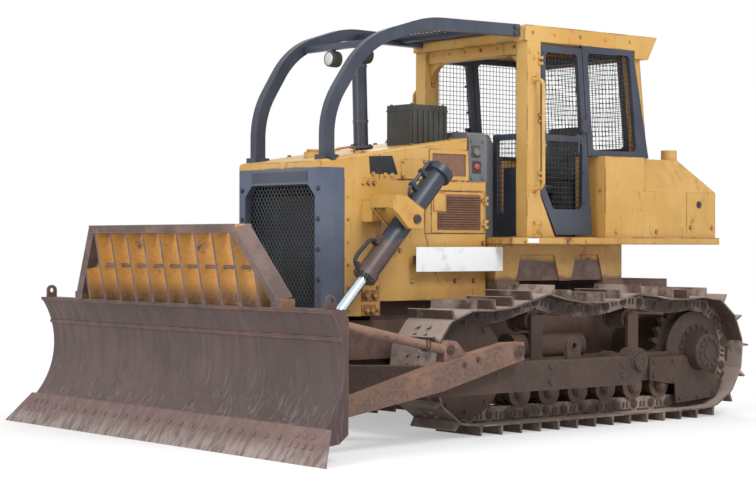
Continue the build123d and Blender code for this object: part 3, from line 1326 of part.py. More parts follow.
# C-frame and braces
def c_frame():
    points = [(0, ARM_Y), (ARM_BEND_X, ARM_Y), (BOW_X[0], BOW_Y[0]), (BOW_X[1], BOW_Y[1]),
              (BOW_X[1], -BOW_Y[1]), (BOW_X[0], -BOW_Y[0]), (ARM_BEND_X, -ARM_Y), (0, -ARM_Y)]
    start = TRUNNION_X - 30
    points[0] = (start, ARM_Y)
    points[-1] = (start, -ARM_Y)
    path = FilletPolyline(*[(x, y, ARM_Z) for x, y in points], radius=BOW_RADII + BOW_RADII[::-1])
    section = Plane(origin=path @ 0, x_dir=(0, 1, 0), z_dir=path % 0)
    frame = sweep(section * Rectangle(ARM_WIDTH, ARM_HEIGHT), path)
    for side in (-1, 1):
        y0, y1 = sorted((side * (ARM_Y - ARM_WIDTH / 2), side * (ARM_Y + ARM_WIDTH / 2)))
        frame += shaft(TRUNNION_X, TRUNNION_Z, ARM_HEIGHT / 2, y0, y1)
        frame -= shaft(TRUNNION_X, TRUNNION_Z, TRUNNION_RADIUS + TRUNNION_GAP, y0 - 1, y1 + 1)
        ear_root = ARM_Z + ARM_HEIGHT / 2 - 20
        for lean in (-1, 1):
            inner = CYL_Y + lean * (EYE_HALF + EAR_GAP)
            ear_y = sorted((side * inner, side * (inner + lean * EAR_PLATE)))
            ear = side_plate([(ROD_EYE[0] - 110, ear_root), (ROD_EYE[0] + 110, ear_root),
                              (ROD_EYE[0] + EAR_RADIUS * 0.8, ROD_EYE[1] + EAR_RADIUS * 0.6),
                              (ROD_EYE[0] - EAR_RADIUS * 0.8, ROD_EYE[1] + EAR_RADIUS * 0.6)], ear_y[0], ear_y[1])
            frame += ear
    frame += arm_lug() + mirror_y(arm_lug()) + lug_ring() + mirror_y(lug_ring())
    ball = Pos(BALL_X, 0, ARM_Z) * Sphere(BALL_RADIUS)
    frame += ball
    frame += Pos((BOW_X[1] + BALL_X) / 2, 0, ARM_Z) * Rot(0, 90, 0) * Cylinder(BALL_RADIUS * 0.7, BALL_X - BOW_X[1])
    return frame


def ball_seats():
    """Ball centres and radii on the blade's back: the C-frame's ball and one ball of each brace."""
    y = (BRACE_Y[0] + BRACE_Y[1]) / 2
    z = BRACE_FOOT[1]
    return ((BALL_X, 0, ARM_Z, BALL_RADIUS), (BRACE_BALL_X, y, z, BRACE_BALL_RADIUS),
            (BRACE_BALL_X, -y, z, BRACE_BALL_RADIUS))


def ball_socket(x, y, z, radius):
    """A block on the blade's back that takes the front of a ball."""
    half = radius * SOCKET_SHARE
    depth = radius + BALL_SEAT
    socket = block((x, BLADE_BACK + BLADE_WALL / 2), (y - half, y + half), (z - half, z + half))
    return socket - Pos(x + depth / 2 - 1, y, z) * Rot(0, 90, 0) * Cylinder(depth, depth + 2)


def brace():
    y0, y1 = BRACE_Y
    px, pz = BRACE_PIN
    fx, fz = BRACE_FOOT
    beam = side_plate([(px - 65, pz - 65), (px - 65, pz + 65), (px + 90, pz + 65), (px + 480, pz - 10),
                       (px + 760, pz - 65), (fx - 40, fz + 62), (fx + 30, fz + 40), (fx + 30, fz - 40),
                       (fx - 40, fz - 55), (px + 730, pz - 262)], y0, y1)
    cx, cz = CLEVIS
    beam += side_plate([(cx - 170, pz - 20), (cx + 60, pz - 60), (cx + 60, cz + 20), (cx + 20, cz + 70),
                        (cx - 60, cz + 60)], y0 + 20, y1 - 20)
    beam += shaft(px, pz, 34, ARM_Y + ARM_WIDTH / 2, y1 + 24)
    y = (y0 + y1) / 2
    beam += round_bar((fx, y, fz), (BRACE_BALL_X, y, fz), BRACE_NECK)
    beam += Pos(BRACE_BALL_X, y, fz) * Sphere(BRACE_BALL_RADIUS)
    beam += tilt_tube()
    return beam - block((BLADE_BACK - SEAT_GAP, BLADE_TIP_X), (y0 - 50, y1 + 50), (0, 2 * TUBE_END_Z))


def arm_lug():
    px, pz = BRACE_PIN
    top = ARM_Z + ARM_HEIGHT / 2
    y1 = ARM_Y + ARM_WIDTH / 2
    return side_plate([(px - 120, top), (px + 120, top), (px + 60, pz + 60), (px - 60, pz + 60)], y1 - 60, y1)


def lug_ring():
    """The spare pin's ring on top of the arm."""
    y0 = ARM_Y - LUG_PLATE / 2
    y1 = ARM_Y + LUG_PLATE / 2
    ring = shaft(LUG_X, LUG_Z, LUG_RADIUS, y0, y1)
    ring += block((LUG_X - LUG_RADIUS, LUG_X + LUG_RADIUS), (y0, y1), (ARM_Z, LUG_Z))
    return ring - shaft(LUG_X, LUG_Z, LUG_HOLE, y0 - 1, y1 + 1)


def tilt_tube():
    y = (BRACE_Y[0] + BRACE_Y[1]) / 2
    return round_bar((CLEVIS[0] + 55, y, CLEVIS[1] + 5), (BLADE_BACK + 40, y, TUBE_END_Z), TUBE_RADIUS)


# Lift cylinders
def cylinder_line():
    dx = ROD_EYE[0] - CYL_PIVOT[0]
    dz = ROD_EYE[1] - CYL_PIVOT[1]
    size = math.hypot(dx, dz)
    return dx / size, dz / size


def on_cylinder(distance):
    dx, dz = cylinder_line()
    return (CYL_PIVOT[0] + dx * distance, CYL_Y, CYL_PIVOT[1] + dz * distance)


def lift_barrel():
    barrel = round_bar(on_cylinder(-BARREL_BACK), on_cylinder(BARREL_FRONT), BARREL_RADIUS)
    barrel += round_bar(on_cylinder(-BARREL_BACK), on_cylinder(-BARREL_BACK + HEAD_LENGTH), HEAD_RADIUS)
    barrel += round_bar(on_cylinder(BARREL_FRONT - GLAND_LENGTH), on_cylinder(BARREL_FRONT), GLAND_RADIUS)
    barrel -= round_bar(on_cylinder(-BARREL_BACK + 100), on_cylinder(BARREL_FRONT + 1), BORE_RADIUS)
    for side in (-1, 1):
        y0, y1 = sorted((CYL_Y + side * (BORE_RADIUS + 12), CYL_Y + side * PIN_HALF))
        barrel += shaft(CYL_PIVOT[0], CYL_PIVOT[1], PIN_RADIUS, y0, y1)
    return barrel


def lift_rod():
    eye = on_cylinder(math.dist(CYL_PIVOT, ROD_EYE))
    start = on_cylinder(math.dist(CYL_PIVOT, ROD_EYE) - ROD_LENGTH)
    rod = round_bar(start, on_cylinder(math.dist(CYL_PIVOT, ROD_EYE) - EYE_BOSS * 0.6), ROD_RADIUS)
    rod += shaft(eye[0], eye[2], EYE_BOSS, CYL_Y - EYE_HALF, CYL_Y + EYE_HALF)
    rod -= shaft(eye[0], eye[2], EYE_PIN, CYL_Y - EYE_HALF - 1, CYL_Y + EYE_HALF + 1)
    return rod


def cylinder_yoke():
    """Fork bolted to the hood side, with the barrel's trunnions in its two plates."""
    x, z = CYL_PIVOT
    inner = CYL_Y - BARREL_RADIUS - YOKE_GAP
    outer = CYL_Y + BARREL_RADIUS + YOKE_GAP
    plate = [(x - 75, z - 75), (x + 75, z - 75), (x + 240, z + 80), (x + 240, z + 180), (x + 110, z + 180),
             (x - 75, z + 75)]
    yoke = side_plate(plate, inner - YOKE_PLATE, inner)
    yoke += side_plate(plate, outer, outer + YOKE_PLATE)
    yoke += block((x + 130, x + 240), (inner - 1, outer + 1), (z + 85, z + 180))
    yoke += block((x - 60, x + 220), (NOSE_HALF + SIDE_PLATE_RISE + SEAT_GAP, inner - YOKE_PLATE + 1),
                  (z - 20, z + 150))
    yoke -= shaft(x, z, PIN_RADIUS + TRUNNION_GAP, NOSE_HALF + 20, outer + YOKE_PLATE + 1)
    return yoke


def main():
    for name, piece in (("main_frame", main_frame()), ("equalizer_bar", equalizer_bar()), ("drawbar", drawbar()),
                        ("engine_block", engine_block()), ("radiator_guard", radiator_guard()),
                        ("radiator_grille", radiator_grille()), ("hood", hood()),
                        ("exhaust_stack", exhaust_stack()), ("pre_cleaner", pre_cleaner()), ("deck", deck()),
                        ("fuel_tank", fuel_tank()), ("roof", roof()), ("cab_front", cab_front()),
                        ("cab_header", cab_header()), ("cowl", cowl()),
                        ("cab_rear", cab_rear()), ("console", console()), ("seat_base", seat_base()),
                        ("seat_cushion", seat_cushion()), ("seat_back", seat_back()),
                        ("control_levers", control_levers()), ("cross_bars", cross_bars()),
                        ("work_lamps", work_lamps()), ("moldboard", moldboard()),
                        ("cutting_edge", cutting_edge()), ("lifting_eyes", lifting_eyes()),
                        ("trash_rack", trash_rack()), ("c_frame", c_frame())):
        put(piece, name)
    for name, piece in (("track", track()), ("final_drive", final_drive()), ("rollers", rollers()),
                        ("track_frame", track_frame()), ("side_panel", side_panel()),
                        ("engine_door", engine_door()), ("fender", fender()), ("cab_side", cab_side()),
                        ("cab_door", cab_door()), ("brace", brace()), ("lift_barrel", lift_barrel()),
                        ("lift_rod", lift_rod()), ("sweep_guard", sweep_guard())):
        put_pair(piece, name)
    for name, piece in (("deck_supports", deck_support()), ("cab_posts", cab_posts()),
                        ("grab_handles", grab_handle()), ("cylinder_yokes", cylinder_yoke())):
        put(Compound(children=[piece, mirror_y(piece)]), name)


main()
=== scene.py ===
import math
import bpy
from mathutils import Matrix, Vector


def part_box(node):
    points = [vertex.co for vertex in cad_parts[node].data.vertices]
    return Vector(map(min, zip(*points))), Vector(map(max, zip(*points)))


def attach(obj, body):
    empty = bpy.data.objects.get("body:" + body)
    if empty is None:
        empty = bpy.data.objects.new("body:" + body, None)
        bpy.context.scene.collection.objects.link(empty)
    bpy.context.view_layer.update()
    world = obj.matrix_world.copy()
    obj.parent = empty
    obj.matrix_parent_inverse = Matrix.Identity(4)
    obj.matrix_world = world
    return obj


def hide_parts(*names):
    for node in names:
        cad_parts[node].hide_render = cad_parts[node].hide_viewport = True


bl_info = {
    "name": "Bulldozer",
    "version": (1, 0, 0),
    "blender": (4, 5, 0),
    "location": "View3D > Sidebar > Bulldozer",
    "description": "Dresses the packed crawler bulldozer with paint, rust, mesh, bolts and hoses",
    "category": "Object",
}

import bpy
from bpy.props import FloatProperty, FloatVectorProperty, PointerProperty
from mathutils import Vector

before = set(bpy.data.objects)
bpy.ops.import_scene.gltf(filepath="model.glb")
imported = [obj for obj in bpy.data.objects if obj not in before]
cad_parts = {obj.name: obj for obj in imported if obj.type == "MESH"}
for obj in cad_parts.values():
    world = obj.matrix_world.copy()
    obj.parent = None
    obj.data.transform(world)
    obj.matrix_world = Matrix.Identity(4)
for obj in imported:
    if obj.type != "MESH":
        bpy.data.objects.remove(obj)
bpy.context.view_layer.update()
SIDES = (("left", 1), ("right", -1))
AHEAD, LEFT, UP = (1, 0, 0), (0, 1, 0), (0, 0, 1)


def tint(name, description, default):
    return FloatVectorProperty(name=name, description=description, default=default, size=3,
                               subtype="COLOR", min=0, max=1)


def length(name, description, default):
    return FloatProperty(name=name, description=description, default=default, unit="LENGTH", min=0)


class DozerColours(bpy.types.PropertyGroup):
    """Colours of the paint, the bare metal and the dirt"""

    yellow: tint("Yellow", "Machine paint on the body", (0.54, 0.295, 0.068))
    pale_yellow: tint("Faded yellow", "Paint bleached by the sun", (0.60, 0.37, 0.115))
    guard: tint("Guard paint", "Blue-grey paint on guards, doors and frames", (0.046, 0.060, 0.098))
    guard_faded: tint("Faded guard paint", "Chalky guard paint", (0.088, 0.110, 0.155))
    rust: tint("Rust", "Rust in the chips", (0.115, 0.042, 0.022))
    earth: tint("Earth", "Dry earth on the lower parts", (0.155, 0.086, 0.057))
    iron: tint("Iron", "Dark undercarriage iron", (0.050, 0.029, 0.022))
    worn: tint("Worn iron", "Iron rubbed grey by use", (0.27, 0.225, 0.205))
    blade: tint("Blade", "Scoured blade face", (0.086, 0.053, 0.048))
    chrome: tint("Chrome", "Cylinder rods", (0.62, 0.70, 0.78))
    seat: tint("Seat", "Seat vinyl", (0.028, 0.028, 0.032))
    dash: tint("Dash", "Grey dash and cowl", (0.125, 0.13, 0.14))
    plate: tint("Blank plate", "Bare sign panel", (0.86, 0.88, 0.90))
    screen: tint("Screen", "Rusty louvres and screens", (0.150, 0.075, 0.045))
    bare: tint("Bare metal", "Brown steel where the paint is gone", (0.075, 0.048, 0.042))
    ochre: tint("Ochre", "Ochre rust and old primer", (0.56, 0.27, 0.065))
    sand: tint("Sand", "Pale dry soil on the track shoes", (0.36, 0.285, 0.245))
    floor: tint("Floor", "Studio floor", (0.90, 0.90, 0.90))


class DozerSizes(bpy.types.PropertyGroup):
    """Sizes of the pieces that the scene adds"""

    window_pitch: length("Window mesh pitch", "Spacing of the window mesh wires", 0.040)
    window_wire: length("Window wire", "Thickness of the window mesh wires", 0.005)
    grille_pitch: length("Grille pitch", "Spacing of the radiator grille's strands", 0.034)
    grille_strand: length("Grille strand", "Width of a grille strand", 0.007)
    bolt: length("Bolt", "Width of an ordinary bolt head", 0.030)
    shoe_bolt: length("Shoe bolt", "Width of a track shoe bolt head", 0.034)
    hose: length("Hose", "Radius of a hydraulic hose", 0.014)


def shade_of(colour, share):
    """A colour made darker, or lighter where share is over 1."""
    return [v * share for v in colour]


def colours():
    return bpy.context.scene.dozer_colours


def sizes():
    return bpy.context.scene.dozer_sizes


# The frame's own measures, in metres

BOX = {name: (Vector(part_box(name)[0]), Vector(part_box(name)[1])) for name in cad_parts}
AXLE_X = -1.9825
TRACK_Y = 0.990
LINK_FACE = 0.086
LINK_HALF = 0.055
SHOE_COUNT = 38
SHOE_PLATE = 0.014
PIN_HEIGHT = 0.141
WHEELBASE = 2.620
SPROCKET_RADIUS = 0.4085
IDLER_RADIUS = 0.375
RUN_POSTS = ((0, 0.9581), (0.780, 1.003), (1.880, 1.008), (2.620, 0.891))
RUN_SAG = (0.045, 0.080, 0.045)
SIDE_FACE = 0.528
SIDE_PLATE_FACE = 0.536
COWL_FACE = 0.522
ROLLERS_X = [AXLE_X + 0.431 + 0.320 * i for i in range(6)]
ROLLER_HEIGHT = 0.290
TRUNNION = (1.118, 0.522)
ROOF_SCREEN_HEIGHT = 3.192


def run_height(x):
    """Height of the upper chain run, as the frame has it."""
    for (xa, za), (xb, zb), sag in zip(RUN_POSTS, RUN_POSTS[1:], RUN_SAG):
        if x <= xb:
            t = (x - xa) / (xb - xa)
            return za + (zb - za) * t - sag * 4 * t * (1 - t)
    return RUN_POSTS[-1][1]


def chain_path(steps=240):
    """Close points along the pins' line, from under the sprocket round by the idler."""
    path = [(WHEELBASE * i / steps, PIN_HEIGHT) for i in range(steps)]
    for i in range(steps):
        a = -math.pi / 2 + math.pi * i / steps
        path.append((WHEELBASE + IDLER_RADIUS * math.cos(a), PIN_HEIGHT + IDLER_RADIUS * (1 + math.sin(a))))
    for i in range(steps):
        x = WHEELBASE * (1 - i / steps)
        path.append((x, run_height(x)))
    for i in range(steps + 1):
        a = math.pi / 2 + math.pi * i / steps
        path.append((SPROCKET_RADIUS * math.cos(a), PIN_HEIGHT + SPROCKET_RADIUS * (1 + math.sin(a))))
    return path


def chain_links():
    """Each link's start pin, direction and outward normal in side view, and its length."""
    path = [Vector(p) for p in chain_path()]
    lengths = [(b - a).length for a, b in zip(path, path[1:])]
    step = sum(lengths) / SHOE_COUNT
    pins, reached, target = [], 0, step / 2
    for a, b, length_ in zip(path, path[1:], lengths):
        while len(pins) < SHOE_COUNT and target <= reached + length_:
            pins.append(a.lerp(b, (target - reached) / length_))
            target += step
        reached += length_
    links = []
    for a, b in zip(pins, pins[1:] + pins[:1]):
        way = (b - a).normalized()
        links.append((a, way, Vector((way.y, -way.x)), (b - a).length))
    return links


def strands(corners, way, pitch):
    """Stretches of evenly spaced parallel lines inside a flat outline."""
    way = Vector(way).normalized()
    across = Vector((-way.y, way.x))
    corners = [Vector(p) for p in corners]
    reach = [across.dot(p) for p in corners]
    stretches = []
    for k in range(math.ceil(min(reach) / pitch), math.floor(max(reach) / pitch) + 1):
        cuts = []
        for a, b in zip(corners, corners[1:] + corners[:1]):
            da, db = across.dot(a) - k * pitch, across.dot(b) - k * pitch
            if (da < 0) != (db < 0):
                cuts.append(way.dot(a + (b - a) * (da / (da - db))))
        cuts.sort()
        for start, end in zip(cuts[::2], cuts[1::2]):
            stretches.append([across * k * pitch + way * t for t in (start, end)])
    return stretches


def ring_of(count, radius, start=0.0):
    """Points evenly spaced round a circle."""
    return [(radius * math.cos(a), radius * math.sin(a))
            for a in (start + 2 * math.pi * i / count for i in range(count))]


def at(x, y, z):
    """A point given from the sprocket's axle, as in the part's source."""
    return Vector((AXLE_X + x, y, z))


def seat_on(node, start, way):
    """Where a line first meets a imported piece."""
    hit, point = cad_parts[node].ray_cast(start, way)[:2]
    if not hit:
        raise RuntimeError(f"no seat on {node} from {tuple(start)}")
    return point


# Stretches (x, z) of the rusty screen beside the hood's rear and of the doors' louvres
SCREEN_ZONE = ((AXLE_X + 2.094, AXLE_X + 2.443), (1.992, 2.166))
# Box (x, z, y) inside the nose behind the grille, painted near black: the dark radiator core and painted
# shade.
CORE_SHADE_ZONE = ((-9, 1.5125), (0.955, 1.910), (-0.452, 0.452))
LOUVRE_ZONES = (((AXLE_X + 1.928, AXLE_X + 2.387), (1.566, 1.706)),
                ((AXLE_X + 1.928, AXLE_X + 2.292), (1.706, 1.846)))


# The studio: name, place, aim, size and watts of each lamp, and the solved camera's yaw, pitch and roll
FLOOR_REACH = 60
SKY_LIGHT = 0.70
LAMPS = (("key", (1.5, 9.0, 9.5), (0, 0, 1.2), 4.0, 760),
         ("front", (12.0, 2.0, 6.0), (0.5, 0, 1.2), 5.0, 620),
         ("back", (-8.0, -7.0, 8.0), (0, 0, 1.2), 6.0, 500))
LENS = 89.06
LENS_SHIFT = (0.0374, -0.0019)
CAMERA_PLACE = (10.2175, 11.598, 1.447)
CAMERA_TURNS = (231.13, -0.02, 0.11)


# Shader arithmetic


class Wire:
    """A shader socket that takes part in Python arithmetic."""

    def __init__(self, graph, socket):
        self.graph = graph
        self.socket = socket

    def _math(self, operation, *values):
        return self.graph.node("ShaderNodeMath", {"operation": operation}, dict(enumerate(values)))

    def __add__(self, other):
        return self._math("ADD", self, other)

    def __sub__(self, other):
        return self._math("SUBTRACT", self, other)

    def __mul__(self, other):
        return self._math("MULTIPLY", self, other)

    def __radd__(self, other):
        return self._math("ADD", other, self)

    def __rsub__(self, other):
        return self._math("SUBTRACT", other, self)

    def __rmul__(self, other):
        return self._math("MULTIPLY", other, self)

    def clamp(self):
        return self.graph.node("ShaderNodeClamp", {}, {"Value": self})

    def above(self, low, high):
        """0 below low, 1 above high, smooth between."""
        return self.graph.node("ShaderNodeMapRange", {"interpolation_type": "SMOOTHSTEP"},
                               {"Value": self, "From Min": low, "From Max": high})

    def most(self, other):
        return self._math("MAXIMUM", self, other)


class Graph:
    """The nodes of a material or world, added one call at a time."""

    def __init__(self, owner):
        owner.use_nodes = True
        self.owner = owner
        self.nodes = owner.node_tree.nodes
        self.links = owner.node_tree.links
        self.nodes.clear()
        self.place = self.node("ShaderNodeTexCoord", {}, {}, "Object")

    def node(self, kind, settings, values, output=0):
        """Add a node: settings first, then socket values or links; returns one output."""
        node = self.nodes.new(kind)
        for name, value in settings.items():
            setattr(node, name, value)
        for name, value in values.items():
            socket = node.inputs[name]
            if isinstance(value, Wire):
                self.links.new(value.socket, socket)
            else:
                socket.default_value = value
        return Wire(self, node.outputs[output]) if node.outputs else node

    def noise(self, scale, detail=4, rough=0.55, stretch=(1, 1, 1), shift=(0, 0, 0)):
        place = self.node("ShaderNodeMapping", {},
                          {"Vector": self.place, "Scale": stretch, "Location": shift})
        return self.node("ShaderNodeTexNoise", {}, {"Vector": place, "Scale": scale, "Detail": detail,
                                                    "Roughness": rough})

    def height(self):
        """Height above the ground at rest, in metres."""
        return self.node("ShaderNodeSeparateXYZ", {}, {"Vector": self.place}, 2)

    def facing_up(self):
        normal = self.node("ShaderNodeNewGeometry", {}, {}, "Normal")
        return self.node("ShaderNodeSeparateXYZ", {}, {"Vector": normal}, 2)

    def edges(self, radius):
        """High where a rounded edge would turn away from the flat face."""
        flat = self.node("ShaderNodeNewGeometry", {}, {}, "Normal")
        round_ = self.node("ShaderNodeBevel", {"samples": 4}, {"Radius": radius})
        alike = self.node("ShaderNodeVectorMath", {"operation": "DOT_PRODUCT"}, {0: flat, 1: round_}, "Value")
        return 1 - alike

    def inside(self, xs, zs, ys=(-9, 9), soft=0.003):
        """1 within a stretch of length, height and width of the machine, 0 outside, at its rest."""
        mask = 1
        for axis, (low, high) in ((0, xs), (2, zs), (1, ys)):
            value = self.node("ShaderNodeSeparateXYZ", {}, {"Vector": self.place}, axis)
            mask = value.above(low - soft, low) * (1 - value.above(high, high + soft)) * mask
        return mask

    def sideways(self):
        """1 where a face looks straight across the machine."""
        normal = self.node("ShaderNodeNewGeometry", {}, {}, "Normal")
        across = self.node("ShaderNodeSeparateXYZ", {}, {"Vector": normal}, 1)
        return (across * across).above(0.94, 0.98)

    def blend(self, amount, low, high):
        """Mix two colours, each a tuple or a wire."""
        low, high = (colour if isinstance(colour, Wire) else (*colour, 1) for colour in (low, high))
        return self.node("ShaderNodeMix", {"data_type": "RGBA"}, {0: amount, 6: low, 7: high}, 2)

    def bump(self, height, distance, strength=1.0, under=None):
        values = {"Height": height, "Distance": distance, "Strength": strength}
        if under is not None:
            values["Normal"] = under
        return self.node("ShaderNodeBump", {}, values, "Normal")

    def surface(self, **values):
        """Finish with one Principled shader; names use _ for a space."""
        named = {name.replace("_", " "): value for name, value in values.items()}
        for name in ("Base Color", "Emission Color"):
            if name in named and not isinstance(named[name], Wire):
                named[name] = (*named[name], 1)
        shader = self.node("ShaderNodeBsdfPrincipled", {}, named)
        self.node("ShaderNodeOutputMaterial", {}, {"Surface": shader})
        return self.owner


def weathered_paint(name, fresh, faded, chip=0.0, dust=0.5, gloss=0.42, brown=(), bare=None, core_shade=()):
    """Machine paint: faded patches, rusty chips on edges, run-down stains and earth low down.

    brown lists stretches (x, z) of rusty screens; the last argument lists boxes (x, z, y) painted near black,
    the dark radiator core and painted shade behind the grille; bare is the height below which the paint turns
    to bare brown steel, worn off, and on the engine block, main frame and deck skirt also painted shade.
    """
    c = colours()
    g = Graph(bpy.data.materials.new(name))
    tone = g.noise(1.3, 5, 0.6)
    paint = g.blend(tone.above(0.35, 0.68), fresh, faded)
    runs = g.noise(9, 4, 0.6, stretch=(1, 1, 0.12))
    paint = g.blend(runs.above(0.52, 0.80) * 0.35, paint, shade_of(fresh, 0.55))
    fine = g.noise(26, 8, 0.7)
    broad = g.noise(3.1, 8, 0.72, shift=(4, 1, 2))
    edge = g.edges(0.022).above(0.01, 0.16)
    chips = (broad + edge * 0.17 + fine * 0.10 + chip).above(0.735, 0.765)
    rusty = g.blend(fine.above(0.35, 0.7), c.rust, shade_of(c.rust, 2.2))
    halo = (broad + edge * 0.17 + fine * 0.10 + chip).above(0.66, 0.76) * 0.35
    paint = g.blend(halo, paint, shade_of(c.rust, 1.7))
    paint = g.blend(chips, paint, rusty)
    for xs, zs in brown:
        screen = g.blend(fine.above(0.3, 0.7), c.screen, shade_of(c.screen, 1.5))
        paint = g.blend(g.inside(xs, zs), paint, screen)
    if bare is not None:
        worn = ((1 - g.height().above(bare - 0.12, bare + 0.12)) * 0.7 + broad * 0.55).above(0.62, 0.80)
        paint = g.blend(worn, paint, g.blend(broad.above(0.42, 0.62), c.bare, shade_of(c.bare, 2.6)))
    low = 1 - g.height().above(0.7, 1.9)
    scrapes = g.noise(34, 3, 0.5, stretch=(0.5, 0.5, 0.16), shift=(3, 0, 9)).above(0.65, 0.69)
    scraped = (scrapes * (0.35 + low * 0.6) * (broad * 2 - 0.4)).clamp()
    paint = g.blend(scraped, paint, shade_of(c.rust, 0.8))
    lying = g.facing_up().above(0.3, 0.9)
    drift = g.noise(2.4, 6, 0.65, shift=(7, 7, 7)).above(0.30, 0.68)
    soil = ((low * 0.75 + lying * 0.35) * drift * dust).clamp()
    paint = g.blend(soil, paint, c.earth)
    # Boxes painted near black: the dark radiator core with painted shade behind the grille.
    for stretch in core_shade:
        paint = g.blend(g.inside(*stretch), paint, (0.010, 0.010, 0.012))
    rough = gloss + chips * 0.35 + soil * 0.35 + g.noise(5, 4) * 0.12
    dents = g.bump(g.noise(1.1, 2), 0.03, 0.5)
    return g.surface(Base_Color=paint, Roughness=rough.clamp(), Metallic=chips * 0.15,
                     Normal=g.bump(fine * 0.4 - chips * 0.8 + soil * 0.4, 0.0015, 0.6, dents))


def earthy_iron(name, earth=0.6, polish=0.35, soil=None, ochre=0.0, settled=0.14, shade=1.0):
    """Undercarriage iron under a coat of dry earth, rubbed grey on its edges, with rust stains."""
    c = colours()
    soil = [v * shade for v in soil or c.earth]
    iron = [v * shade for v in c.iron]
    g = Graph(bpy.data.materials.new(name))
    grit = g.noise(38, 8, 0.72)
    cake = g.noise(3.2, 7, 0.68)
    base = g.blend(grit.above(0.3, 0.7), iron, shade_of(iron, 1.9))
    coat = ((cake + g.facing_up() * settled).above(0.42, 0.66) * earth).clamp()
    base = g.blend(coat, base, soil)
    stain = (g.noise(5, 9, 0.72, stretch=(1, 1, 0.6), shift=(2, 5, 1)) + ochre).above(0.60, 0.80)
    base = g.blend(stain * 0.55, base, [v * (0.35 + ochre * 2.5) for v in c.ochre])
    edge = (g.edges(0.012).above(0.02, 0.22) * polish * (1.4 - cake)).clamp()
    base = g.blend(edge, base, c.worn)
    return g.surface(Base_Color=base, Roughness=(0.72 - edge * 0.3 + coat * 0.2).clamp(), Metallic=edge * 0.7,
                     Normal=g.bump(grit * 0.5 + cake * 0.5, 0.004, 0.8))


def rack_iron(name):
    """The trash rack: ochre paint on the fins' sides, bare brown steel on their edges, and painted shade low
    down by the blade's top, where the fins lose their ochre and darken.
    """
    c = colours()
    g = Graph(bpy.data.materials.new(name))
    broad = g.noise(3.4, 8, 0.7)
    fine = g.noise(30, 7, 0.7)
    steel = g.blend(broad.above(0.4, 0.66), shade_of(c.bare, 1.25), shade_of(c.bare, 2.3))
    # Low down by the blade's top the fins lose their ochre and darken: painted shade.
    low = 1 - g.height().above(1.03, 1.20)
    kept = (g.sideways() - low * 0.6 - (broad + fine * 0.3).above(0.78, 0.84)).clamp()
    base = g.blend(kept, steel, g.blend(fine.above(0.35, 0.7), c.ochre, shade_of(c.ochre, 1.25)))
    base = g.blend((low * 0.55 * fine.above(0.3, 0.6)).clamp(), base, shade_of(c.bare, 0.6))
    edge = g.edges(0.012).above(0.03, 0.2) * 0.5
    base = g.blend(edge, base, c.worn)
    return g.surface(Base_Color=base, Roughness=(0.68 - edge * 0.2).clamp(), Metallic=edge * 0.4,
                     Normal=g.bump(fine * 0.5 + broad * 0.5, 0.003, 0.7))


def scoured_blade(name):
    """Blade face: dark rust with scour lines running down and rubbed lighter near the edge."""
    c = colours()
    g = Graph(bpy.data.materials.new(name))
    lines = g.noise(15, 9, 0.62, stretch=(0.4, 1, 0.05))
    hair = g.noise(60, 6, 0.7, stretch=(0.4, 1, 0.04))
    cloud = g.noise(1.1, 6, 0.62)
    low = 1 - g.height().above(0.05, 0.75)
    base = g.blend(cloud.above(0.35, 0.7), shade_of(c.blade, 0.8), shade_of(c.blade, 1.35))
    base = g.blend(lines.above(0.42, 0.62) * 0.55, base, shade_of(c.blade, 0.45))
    rub = ((lines * 0.5 + hair * 0.5).above(0.50, 0.62) * (0.12 + low * 0.8)).clamp()
    base = g.blend(rub, base, shade_of(c.worn, 0.75))
    edge = g.edges(0.02).above(0.02, 0.2) * g.noise(6, 6).above(0.4, 0.6)
    base = g.blend(edge * 0.6, base, shade_of(c.rust, 2.6))
    return g.surface(Base_Color=base, Roughness=(0.62 - rub * 0.2).clamp(), Metallic=rub * 0.5,
                     Normal=g.bump(lines * 0.6 + hair * 0.4, 0.0025, 0.5, g.bump(cloud, 0.03, 0.5)))


def ground_steel(name):
    """Cutting edges: brown like the blade above, ground grey and streaked by the soil at the rim."""
    c = colours()
    g = Graph(bpy.data.materials.new(name))
    streak = g.noise(20, 8, 0.65, stretch=(0.5, 1, 0.10))
    patch = g.noise(1.9, 6, 0.6)
    rim = (1 - g.height().above(0.02, 0.15) + patch * 0.9 - 0.45).clamp()
    base = g.blend(streak.above(0.35, 0.7), shade_of(c.blade, 1.5), shade_of(c.blade, 2.2))
    base = g.blend((rim * streak.above(0.30, 0.62)).clamp(), base, [min(1, v * 1.25) for v in c.worn])
    return g.surface(Base_Color=base, Roughness=0.46 + patch * 0.25, Metallic=rim * 0.4,
                     Normal=g.bump(streak, 0.0012, 0.5))


def polished_chrome(name):
    c = colours()
    g = Graph(bpy.data.materials.new(name))
    scratch = g.noise(30, 5, 0.6, stretch=(1, 1, 4))
    oil = g.noise(4, 5)
    base = g.blend(oil.above(0.45, 0.75) * 0.35, c.chrome, shade_of(c.chrome, 0.55))
    return g.surface(Base_Color=base, Roughness=0.14 + scratch * 0.14, Metallic=1.0,
                     Normal=g.bump(scratch, 0.0004, 0.3))


def stippled_plastic(name, colour, grain=90, rough=0.55, spread=1.6):
    """Moulded plastic or vinyl: fine grain, scuffs and settled dust."""
    c = colours()
    g = Graph(bpy.data.materials.new(name))
    stipple = g.node("ShaderNodeTexVoronoi", {}, {"Vector": g.place, "Scale": grain})
    scuff = g.noise(5, 6, 0.65)
    base = g.blend(scuff.above(0.4, 0.7), colour, [min(1, v * spread) for v in colour])
    dust = g.facing_up().above(0.4, 0.95) * g.noise(3, 5).above(0.4, 0.7) * 0.35
    base = g.blend(dust, base, c.earth)
    return g.surface(Base_Color=base, Roughness=(rough + scuff * 0.15 + dust * 0.3).clamp(), Metallic=0.0,
                     Normal=g.bump(stipple, 0.0008, 0.45))


